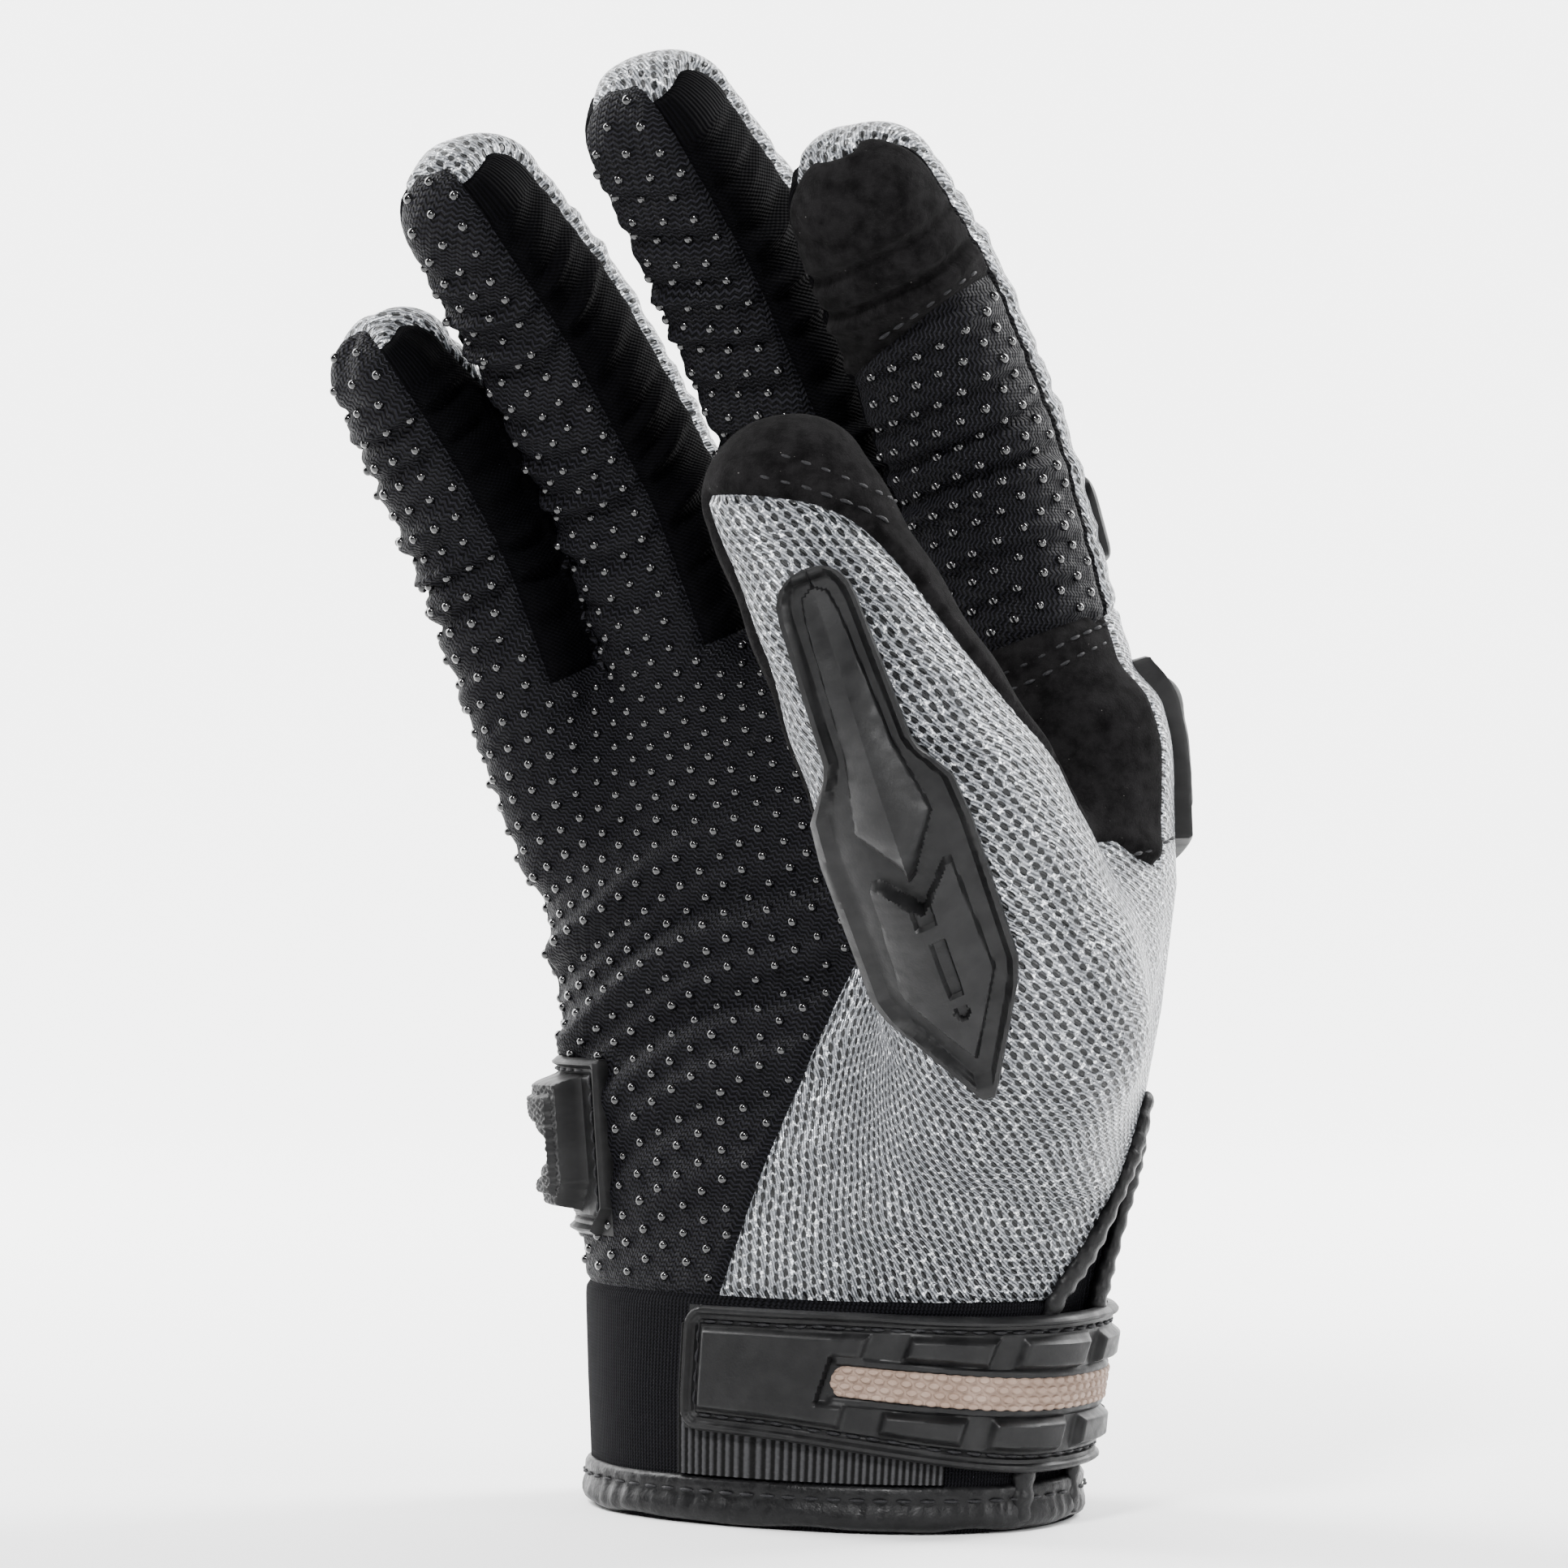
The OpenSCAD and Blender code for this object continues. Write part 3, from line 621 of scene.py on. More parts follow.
# ---------------------------------------------------------------- pieces
def mesh_object(name, points, faces, uv=None, normals=None, rest=None, material=None):
    """A mesh object from millimetre points and lists of same-sized faces."""
    groups = faces if isinstance(faces, list) else [faces]
    groups = [np.asarray(g) for g in groups if len(g)]
    mesh = bpy.data.meshes.new(name)
    loops = np.concatenate([g.ravel() for g in groups])
    sizes = np.concatenate([np.full(len(g), g.shape[1]) for g in groups])
    mesh.vertices.add(len(points))
    mesh.vertices.foreach_set("co", (np.asarray(points) * MM).astype(np.float32).ravel())
    mesh.loops.add(len(loops))
    mesh.loops.foreach_set("vertex_index", loops.astype(np.int32))
    mesh.polygons.add(len(sizes))
    mesh.polygons.foreach_set("loop_start", (np.cumsum(sizes) - sizes).astype(np.int32))
    mesh.polygons.foreach_set("loop_total", sizes.astype(np.int32))
    mesh.update(calc_edges=True)
    mesh.polygons.foreach_set("use_smooth", np.ones(len(sizes), bool))
    if uv is not None:
        layer = mesh.uv_layers.new(name="UVMap")
        layer.data.foreach_set("uv", np.asarray(uv)[loops].astype(np.float32).ravel())
    rest = points if rest is None else rest
    kept = mesh.attributes.new("rest", "FLOAT_VECTOR", "POINT")
    kept.data.foreach_set("vector", np.asarray(rest).astype(np.float32).ravel())
    if normals is not None:
        mesh.normals_split_custom_set_from_vertices(np.asarray(normals).tolist())
    obj = bpy.data.objects.new(name, mesh)
    bpy.context.collection.objects.link(obj)
    if material:
        mesh.materials.append(material)
    return obj


def move_with(obj, motion):
    if len(motion) == 1:
        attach(obj, motion[0])
    else:
        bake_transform(obj)


def on_line(tube, s):
    return resample(s, tube.s, tube.c)


def joint_place(name):
    joint = next(j for j in frame["joints"] if j["name"] == name)
    return np.array(joint["pos_m"]) / MM


THUMB_WAY = unit([0.2, -0.98, 0])
thumb_root = ("hand", "thumb", THUMB_WAY * 31, THUMB_WAY * 44)
thumb_bend = THUMB_TUBE.local(joint_place("thumb_tip_flex")[None])[0][0]
thumb_end = ("thumb", "thumb_tip", on_line(THUMB_TUBE, thumb_bend - 8), on_line(THUMB_TUBE, thumb_bend + 8))
MOTION = {"hand": ("hand",), "ulnar": ("hand",), "back": ("hand",), "cuff": ("hand",),
          "slit": ("hand",), "thenar": thumb_root, "suede": thumb_root, "web_top": thumb_root,
          "thumb_mesh": thumb_end, "suede_tip": thumb_end}
for finger, form in FINGERS.items():
    tube, cut = TUBES[finger], form["cut"]
    middle = tube.local(joint_place(finger + "_mid_flex")[None])[0][0]
    root = ("hand", finger + "_base", on_line(tube, cut + 1.5), on_line(tube, cut + 14))
    bend = (finger + "_base", finger + "_tip", on_line(tube, middle - 6.5), on_line(tube, middle + 8))
    for kind in ("", "_front", "_back"):
        MOTION[f"{finger}_a{kind}"] = root
        MOTION[f"{finger}_b{kind}"] = bend
MOTION["index_pad"] = MOTION["index_b"]


def unwrap(skin, labels):
    """Flattens some panels together, to millimetres with up the page along the hand."""
    chosen = np.isin(skin.label.astype(str), labels)
    used, inverse = np.unique(skin.f[chosen], return_inverse=True)
    p = skin.v["base"][used]
    obj = mesh_object("flatten", p, inverse.reshape(-1, 3), uv=np.zeros((len(used), 2)))
    bpy.context.view_layer.objects.active = obj
    obj.select_set(True)
    bpy.ops.object.mode_set(mode="EDIT")
    bpy.ops.mesh.select_all(action="SELECT")
    bpy.ops.uv.unwrap(method="ANGLE_BASED", margin=0)
    bpy.ops.object.mode_set(mode="OBJECT")
    loops = np.zeros(len(obj.data.loops), np.int32)
    obj.data.loops.foreach_get("vertex_index", loops)
    flat = np.zeros(len(loops) * 2, np.float32)
    obj.data.uv_layers[0].data.foreach_get("uv", flat)
    uv = np.zeros((len(used), 2))
    uv[loops] = flat.reshape(-1, 2)
    bpy.data.objects.remove(obj)
    tri = inverse.reshape(-1, 3)
    a, b = p[tri[:, 1]] - p[tri[:, 0]], p[tri[:, 2]] - p[tri[:, 0]]
    c, d = uv[tri[:, 1]] - uv[tri[:, 0]], uv[tri[:, 2]] - uv[tri[:, 0]]
    solid = np.linalg.norm(np.cross(a, b), axis=1)
    sheet = c[:, 0] * d[:, 1] - c[:, 1] * d[:, 0]
    if sheet.sum() < 0:
        uv[:, 0] *= -1
    uv *= math.sqrt(solid.sum() / np.abs(sheet).sum())
    uv -= uv.mean(0)
    table = np.column_stack([uv, np.ones(len(uv))])
    slope = np.linalg.lstsq(table, p[:, 2], rcond=None)[0][:2]
    up, across = unit(slope), unit([slope[1], -slope[0]])
    skin.v["uv"][used] = np.column_stack([uv @ across, uv @ up])


def all_uvs(skin):
    v = skin.v
    v["uv"] = np.zeros((len(v["p"]), 2))
    plain = np.column_stack([np.radians(v["f_angle"]) * FINGER_RADIUS, v["f_along"]])
    v["uv"][:] = plain
    fronts = [f"{f}_{part}_front" for f in FINGERS for part in "ab"]
    backs = [f"{f}_{part}_back" for f in FINGERS for part in "ab"]
    unwrap(skin, ["hand", "index_pad"] + fronts)
    knit = v["uv"].copy()
    unwrap(skin, ["back"] + backs)
    back = v["uv"].copy()
    unwrap(skin, ["thenar", "thumb_mesh"])
    thenar = v["uv"].copy()
    unwrap(skin, ["ulnar"])
    ulnar = v["uv"].copy()
    cuff = np.column_stack([np.radians(v["p_angle"]) * WRIST_RADIUS, v["p"][:, 2]])
    thumb = np.column_stack([np.radians(v["t_angle"]) * THUMB_RADIUS, v["t_along"]])
    skin.uv = {"knit": knit, "mesh": back, "thenar": thenar, "ulnar": ulnar, "cuff": cuff,
               "slit": cuff, "suede": thumb, "pad": knit}
    for finger in FINGERS:
        skin.uv["wall_" + finger] = plain


NAMES = {"hand": "palm_knit", "ulnar": "ulnar_knit", "back": "hand_back_mesh",
         "thenar": "thenar_mesh", "thumb_mesh": "thumb_mesh", "suede": "web_suede",
         "suede_tip": "thumb_tip_suede", "web_top": "index_root_suede",
         "index_pad": "index_touch_suede", "cuff": "cuff_cloth", "slit": "slit_cloth"}
STANDS_FOR = {
    "hand": ["palm_front", "finger_roots_front"], "ulnar": ["ulnar_wrap"],
    "back": ["hand_back", "heel_gore", "finger_roots_back"], "thenar": ["thenar_gusset"],
    "thumb_mesh": ["thumb_tip_back"], "suede": ["web_patch", "thumb_back", "thumb_pad"],
    "suede_tip": ["thumb_tip_pad", "thumb_tip_gusset"], "index_pad": ["index_touch_pad"],
    "cuff": ["cuff_band"], "slit": ["slit_gusset"]}
for finger in FINGERS:
    STANDS_FOR[finger + "_a"] = [finger + "_root_gusset", finger + "_walls"]
    for kind in ("front", "back"):
        STANDS_FOR[f"{finger}_a_{kind}"] = [f"{finger}_base_{kind}"]
        STANDS_FOR[f"{finger}_b_{kind}"] = [f"{finger}_tip_{kind}"]
SLOTS = {"knit": "dot_knit", "ulnar": "dot_knit", "mesh": "mesh", "thenar": "mesh",
         "suede": "suede", "pad": "suede", "cuff": "neoprene", "slit": "neoprene"}


def skin_pieces(skin, materials):
    for label in sorted(set(skin.label)):
        cloth = CLOTH[label]
        slot = SLOTS.get(cloth, "lycra")
        used, inverse = np.unique(skin.f[skin.label == label], return_inverse=True)
        name = NAMES.get(label)
        if name is None:
            finger, part, *kind = label.split("_")
            name = f"{finger}_{'root' if part == 'a' else 'tip'}_{kind[0] if kind else 'walls'}"
            name += "_cloth"
        v = skin.v
        obj = mesh_object(name, v["p"][used], inverse.reshape(-1, 3), skin.uv[cloth][used],
                          v["n"][used], v["base"][used], materials[slot])
        move_with(obj, MOTION[label])
        if label in STANDS_FOR:
            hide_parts(*STANDS_FOR[label])


LINING_TOP, LINING_REACH, LINING_INSET = 112, 27, 2.9


def lining(skin, materials):
    """The inside of the hand, as far up and as far towards the thumb as it stays still."""
    corners = skin.v["base"][skin.f]
    low = (corners[:, :, 2] < LINING_TOP).all(1) & (corners @ THUMB_WAY < LINING_REACH).all(1)
    low &= np.isin(skin.label.astype(str), ["cuff", "slit", "hand", "thenar", "back", "ulnar"])
    used, inverse = np.unique(skin.f[low], return_inverse=True)
    v = skin.v
    inner = v["base"][used] - v["out"][used] * LINING_INSET
    inner[:, 2] = np.maximum(inner[:, 2], 1.0)
    uv = np.column_stack([np.radians(v["p_angle"][used]) * WRIST_RADIUS, v["base"][used, 2]])
    obj = mesh_object("inner_lining", inner, inverse.reshape(-1, 3)[:, ::-1], uv, -v["n"][used],
                      v["base"][used], materials["lining"])
    move_with(obj, ("hand",))
    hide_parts("cuff_lining")


# ---------------------------------------------------------------- grip dots and stitches
def dome_shape(sides=10):
    """Unit dome: points (across, across, height) and faces."""
    rings = [(1.0, -0.25), (0.97, 0.2), (0.78, 0.62), (0.42, 0.9)]
    turn = np.arange(sides) * 2 * math.pi / sides
    points = [np.column_stack([r * np.cos(turn), r * np.sin(turn), np.full(sides, h)]) for r, h in rings]
    points = np.concatenate(points + [np.array([[0, 0, 1.0]])])
    quads, i = [], np.arange(sides)
    j = (i + 1) % sides
    for k in range(len(rings) - 1):
        low, high = k * sides, (k + 1) * sides
        quads.append(np.column_stack([low + i, low + j, high + j, high + i]))
    top = (len(rings) - 1) * sides
    tip = np.full(sides, len(points) - 1)
    return points, np.concatenate(quads), np.column_stack([top + i, top + j, tip])


DOT_ACROSS, DOT_UP, DOT_RADIUS, DOT_HEIGHT = 4.8, 3.6, 0.84, 0.74


def frame_on(normal, hint=UP):
    across = unit(np.cross(hint, normal))
    return across, np.cross(normal, across)


def grip_dots(skin, materials):
    """Rubber domes in staggered rows, laid out on the flattened cloth."""
    v = skin.v
    knitted = [label for label in set(skin.label) if CLOTH[label] == "knit"]
    labels = {"knit": knitted, "ulnar": ["ulnar"]}
    shape, quads, caps = dome_shape()
    rng = np.random.default_rng(5)
    for cloth, wanted in labels.items():
        uv = skin.uv[cloth]
        chosen = np.isin(skin.label.astype(str), wanted)
        f, names = skin.f[chosen], skin.label[chosen]
        flat = np.column_stack([uv, np.zeros(len(uv))])
        used, inverse = np.unique(f, return_inverse=True)
        tree = BVHTree.FromPolygons(flat[used].tolist(), inverse.reshape(-1, 3).tolist())
        low, high = flat[used].min(0), flat[used].max(0)
        found = {}
        for row in range(int((high[1] - low[1]) / DOT_UP) + 1):
            for column in range(int((high[0] - low[0]) / DOT_ACROSS) + 1):
                u = low[0] + (column + 0.5 * (row % 2)) * DOT_ACROSS + rng.normal(0, 0.12)
                w = low[1] + row * DOT_UP + rng.normal(0, 0.12)
                face, gap = tree.find_nearest((u, w, 0))[2:]
                if gap > 0.01:
                    continue
                i, j, k = f[face]
                area = np.cross(uv[j] - uv[i], uv[k] - uv[i])
                b = np.cross(np.array([u, w]) - uv[i], uv[k] - uv[i]) / area
                c = np.cross(uv[j] - uv[i], np.array([u, w]) - uv[i]) / area
                weight = np.array([1 - b - c, b, c])
                if weight @ v["seam"][[i, j, k]] < 1.5 or v["base"][i, 2] < CUFF_TOP + 2:
                    continue
                found.setdefault(names[face], []).append((weight @ v["p"][[i, j, k]],
                                                          unit(weight @ v["n"][[i, j, k]])))
        for label, dots in sorted(found.items()):
            centre = np.array([d[0] for d in dots])
            normal = np.array([d[1] for d in dots])
            across, up = frame_on(normal)
            radius = DOT_RADIUS * rng.normal(1, 0.05, len(dots))[:, None, None]
            points = centre[:, None] + radius * (shape[None, :, :1] * across[:, None]
                                                 + shape[None, :, 1:2] * up[:, None])
            points = points + DOT_HEIGHT * shape[None, :, 2:] * normal[:, None]
            start = (np.arange(len(dots)) * len(shape))[:, None, None]
            faces = [(quads[None] + start).reshape(-1, 4), (caps[None] + start).reshape(-1, 3)]
            obj = mesh_object("dots_" + label, points.reshape(-1, 3), faces, material=materials["dots"])
            move_with(obj, MOTION[label])


def stitch_row(points, normals, length=2.3, pitch=3.1, radius=0.3, sink=0.05):
    """Separate thread stitches laid end to end along a line on a surface."""
    points, normals = np.asarray(points, float), np.asarray(normals, float)
    run = run_along(points)
    starts = np.arange(pitch * 0.4, run[-1] - length, pitch)
    if len(starts) == 0:
        return np.zeros((0, 3)), np.zeros((0, 4), int)
    sides, steps = 6, 5
    turn = np.arange(sides) * 2 * math.pi / sides
    out, faces = [], []
    for n, s in enumerate(starts):
        at = s + length * np.linspace(0, 1, steps)
        c = resample(at, run, points)
        m = unit(resample(at, run, normals))
        along = unit(np.gradient(c, axis=0))
        side = unit(np.cross(along, m))
        arch = np.sin(np.linspace(0, math.pi, steps))
        size = radius * (0.35 + 0.65 * np.sqrt(arch))[:, None, None]
        c = c + m * ((arch - 0.45) * radius * 0.9 - sink)[:, None]
        ring = c[:, None] + size * (np.cos(turn)[None, :, None] * side[:, None]
                                    + np.sin(turn)[None, :, None] * m[:, None])
        base = n * sides * steps
        i = np.arange(sides)
        j = (i + 1) % sides
        for k in range(steps - 1):
            a, b = base + k * sides, base + (k + 1) * sides
            faces.append(np.column_stack([a + i, a + j, b + j, b + i]))
        out.append(ring.reshape(-1, 3))
    return np.concatenate(out), np.concatenate(faces)


def stitch_piece(name, rows, motion, slot, materials, **sizes):
    points, faces, total = [], [], 0
    for line, normals in rows:
        p, f = stitch_row(line, normals, **sizes)
        points.append(p)
        faces.append(f + total)
        total += len(p)
    if total == 0:
        return None
    obj = mesh_object(name, np.concatenate(points), np.concatenate(faces), material=materials["thread"])
    move_with(obj, motion)
    return obj


# ---------------------------------------------------------------- raised parts on the skin
def settle(points, steps=3):
    """Moves points onto the smooth skin, with the outward direction there."""
    p = np.asarray(points, float).copy()
    for _ in range(steps):
        p -= gradient(p) * field(p)[:, None]
    return p, gradient(p)


def cast(points, way, steps=22):
    """Moves points along a direction until they meet the smooth skin."""
    p = np.asarray(points, float).copy()
    for _ in range(steps):
        p += way * (field(p) * 0.9)[:, None]
    return p, gradient(p)


def round_palm(z, angle):
    """Places on the smooth skin at heights z and palm angles, and outward directions."""
    z, angle = np.broadcast_arrays(np.asarray(z, float), np.radians(angle))
    cx, cy, a, b, power = palm_section(z.ravel())
    c, s = np.cos(angle.ravel()), np.sin(angle.ravel())
    x = cx + a * np.sign(c) * np.abs(c) ** (2 / power)
    y = cy + b * np.sign(s) * np.abs(s) ** (2 / power)
    p, n = settle(np.column_stack([x, y, z.ravel()]), 2)
    return p.reshape(z.shape + (3,)), n.reshape(z.shape + (3,))


def sheet_faces(rows, columns, closed=False):
    i = np.arange(rows * columns).reshape(rows, columns)
    if closed:
        i = np.column_stack([i, i[:, :1]])
    return np.stack([i[:-1, :-1], i[:-1, 1:], i[1:, 1:], i[1:, :-1]], -1).reshape(-1, 4)


def relief(name, base, normal, height, uv, material, foot=-0.4, flip=False, under_side=False):
    """A solid patch: a grid of heights over the skin, with walls down to its foot."""
    rows, columns = height.shape
    top = base + normal * height[..., None]
    edge = np.concatenate([np.arange(columns), np.arange(1, rows) * columns + columns - 1,
                           (rows - 1) * columns + np.arange(columns - 2, -1, -1),
                           np.arange(rows - 2, 0, -1) * columns])
    under = (base + normal * foot).reshape(-1, 3)[edge]
    faces = sheet_faces(rows, columns)
    n, m = rows * columns, len(edge)
    a, b = edge, np.roll(edge, -1)
    c = n + np.arange(m)
    d = np.roll(c, -1)
    wall = np.column_stack([a, c, d, b])
    if flip:
        faces, wall = faces[:, ::-1], wall[:, ::-1]
    flat = np.concatenate([uv.reshape(-1, 2), uv.reshape(-1, 2)[edge]])
    points = np.concatenate([top.reshape(-1, 3), under])
    rest = np.concatenate([base.reshape(-1, 3), under])
    if under_side:
        start = len(points)
        points = np.concatenate([points, (base + normal * foot).reshape(-1, 3)])
        rest = np.concatenate([rest, base.reshape(-1, 3)])
        flat = np.concatenate([flat, uv.reshape(-1, 2)])
        faces = np.concatenate([faces, faces[:, ::-1] + start])
    obj = mesh_object(name, points, [faces, wall], flat, None, rest, material)
    sharp = obj.modifiers.new("edges", "EDGE_SPLIT")
    sharp.split_angle = math.radians(38)
    return obj


def facing_out(base, normal):
    """True if a grid's faces look along the outward normal."""
    a, b = base[1, 1] - base[0, 0], base[1, 0] - base[0, 1]
    return np.dot(np.cross(a, b), normal[0, 0]) < 0


def box_bump(x, low, high, soft):
    return ramp(x, low, low + soft) * (1 - ramp(x, high - soft, high))


def finish_part(obj, motion, slot, *nodes):
    move_with(obj, motion)
    if nodes:
        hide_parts(*nodes)


# the thumb guard: along its length, half width, all in millimetres
GUARD_TOP, GUARD_FOOT = (-2.6, 141.5), (23.6, 68.5)
GUARD_EDGE = np.array([(-5.4, 0.6), (-4.9, 2.6), (-3.6, 4.2), (-1.6, 5.2), (1, 5.5), (22, 6.2),
                       (24, 6.8), (29.5, 10.0), (36, 10.6), (57.5, 10.4), (61, 9.2), (74, 2.2),
                       (76.5, 0.7)])


def view_plane(side, z, far=130.0):
    """Points well in front of the glove, on lines seen end-on in the front view."""
    return side[..., None] * VIEW_SIDE + np.asarray(z)[..., None] * UP + TO_VIEWER * far


def thumb_guard(materials):
    top, foot = np.array(GUARD_TOP), np.array(GUARD_FOOT)
    along = unit(foot - top)
    right = np.array([-along[1], along[0]])
    run = np.linspace(GUARD_EDGE[0, 0], GUARD_EDGE[-1, 0], 230)
    half = np.interp(run, GUARD_EDGE[:, 0], GUARD_EDGE[:, 1])
    across = np.linspace(-1, 1, 61)
    s, u = run[:, None] + 0 * across, half[:, None] * across
    plane = top + s[..., None] * along + u[..., None] * right
    base, normal = cast(view_plane(plane[..., 0], plane[..., 1]).reshape(-1, 3), -TO_VIEWER)
    base, normal = base.reshape(s.shape + (3,)), normal.reshape(s.shape + (3,))
    gap = np.minimum(half[:, None] - np.abs(u), np.minimum(s + 5.4, (76.5 - s) * 0.42))
    height = 1.5 + 1.0 * box_bump(gap, 0.0, 1.3, 0.35) - 0.7 * ramp(gap, 1.3, 1.7)
    # upper blade: a roof with a ridge, ending in an arrow
    blade = np.interp(s, [-2.6, -1.4, 2, 22, 33, 41.5], [0.2, 2.0, 2.6, 3.6, 5.6, 0.0])
    inside = blade - np.abs(u)
    height += ramp(inside, 0, 0.4) * (1.0 + 3.4 * ramp(s, -4, 30) * (1 - np.abs(u) / np.maximum(blade, 0.5)))
    # lower block: faceted lozenge with a notch and bars
    block = np.interp(s, [39.8, 41, 58, 70.5], [5.2, 6.0, 6.8, 0.0])
    edge = np.minimum(block - np.abs(u), s - 40.5)
    edge = np.minimum(edge, np.abs(u) * 1.15 + (s - 46.0))
    roof = np.clip(1 - np.abs(u + 0.6) / 8.0, 0, 1)
    height += ramp(edge, 0, 0.5) * (0.6 + 3.2 * roof * (1 - ramp(s, 52, 71) * 0.75))
    bar = (np.abs(u - 0.6) < 0.8) & (s > 50.5) & (s < 59.5)
    spot = np.hypot(u - 0.6, (s - 62.3) * 0.8) < 0.9
    height -= 0.9 * (bar | spot)
    notch = (np.abs(u) < 1.1) & (s > 43) & (s < 48)
    height = np.maximum(height - 0.9 * notch, 0.75)
    uv = np.stack([u, s], -1)
    obj = relief("thumb_guard_shell", base, normal, height, uv, materials["tpr"], -0.8,
                 not facing_out(base, normal))
    finish_part(obj, ("thumb",), "tpr", "thumb_guard")


SLIDER_EDGE = -130.0


def palm_slider(materials):
    """Sewn flange and pebbled block on the heel of the palm."""
    z = np.linspace(43.5, 71.5, 90)
    angle = np.linspace(-173, SLIDER_EDGE, 96)
    zz, tt = np.meshgrid(z, angle, indexing="ij")
    base, normal = round_palm(zz, tt)
    arc = (tt + 173) * math.pi / 180 * 38
    width = arc.max()
    gap = np.minimum(np.minimum(zz - 43.5, 71.5 - zz), np.minimum(arc, width - arc))
    corner = np.minimum(gap, (zz - 43.5) + (width - arc) - 4.5)
    height = 1.1 + 0.9 * box_bump(corner, 0.1, 1.5, 0.45) - 0.5 * box_bump(corner, 2.1, 3.0, 0.3)
    height = np.where(corner < 0, 0.2, height)
    inner = np.minimum(np.minimum(zz - 47.0, 69.0 - zz), np.minimum(arc + 1.0, width - 5.4 - arc))
    inner = np.minimum(inner, (zz - 47) * 0.8 + (width - 5.4 - arc) - 4.0)
    notch = np.abs(zz - 57.2) - 3.4 * (1 - arc / (width - 9.5))
    inner = np.minimum(inner, np.where(arc < width - 9.5, notch, 9))
    pebble = np.sin(zz * 3.1 + np.sin(arc * 2.2)) * np.sin(arc * 3.4 + 0.8 * np.sin(zz * 2.6))
    rise = 4.4 * ramp(inner, 0, 1.6) + 0.28 * pebble * ramp(inner, 1.2, 2.0)
    step = 1.0 * ramp(inner, 3.0, 3.6)
    height += rise + step
    uv = np.stack([arc, zz], -1)
    obj = relief("palm_slider_rubber", base, normal, height, uv, materials["tpr"], -0.8,
                 not facing_out(base, normal))
    finish_part(obj, ("hand",), "tpr", "palm_slider_flange", "palm_slider_block")
    rows = []
    zs = np.linspace(45.5, 69.6, 30)
    rows.append(line_on_palm(zs, np.full(30, SLIDER_EDGE - 3.9), 1.3))
    ts = np.linspace(-172, SLIDER_EDGE - 5, 30)
    rows.append(line_on_palm(np.full(30, 69.6), ts, 1.3))
    stitch_piece("palm_slider_stitches", rows, ("hand",), "tpr", materials, pitch=2.9)


def line_on_palm(z, angle, height):
    p, n = round_palm(z, angle)
    return p + n * height, n


def strap_arc(z, angles):
    p, _ = round_palm(z, angles)
    return run_along(p)


STRAP_FROM, STRAP_TO = -104.0, 96.0
TAN_HALF = 2.5
STRAP_HIGH, STRAP_LOW_END, STRAP_LOW = 34.0, 14.8, 9.2
strap_blend = ("hand", "strap_flap", round_palm([22.0], [2.0])[0][0], round_palm([22.0], [-30.0])[0][0])


def strap_low(angle):
    return STRAP_LOW_END + (STRAP_LOW - STRAP_LOW_END) * ramp(angle, -108, -15)


def strap_grid(columns, rows, from_arc=0.0, to_arc=None):
    """Strap places: arc length from the tab end, and height up its width, 0 to 1."""
    angle = np.linspace(STRAP_FROM, STRAP_TO, 400)
    arc = strap_arc(np.full(400, 22.0), angle)
    to_arc = arc[-1] if to_arc is None else to_arc
    a = np.linspace(from_arc, to_arc, columns)
    t = np.interp(a, arc, angle)
    up = np.linspace(0, 1, rows)
    aa, uu = np.meshgrid(a, up, indexing="ij")
    tt = np.meshgrid(t, up, indexing="ij")[0]
    low = strap_low(tt)
    zz = low + (STRAP_HIGH - low) * uu
    base, normal = round_palm(zz, tt)
    return aa, zz - low, STRAP_HIGH - low, base, normal, arc[-1]


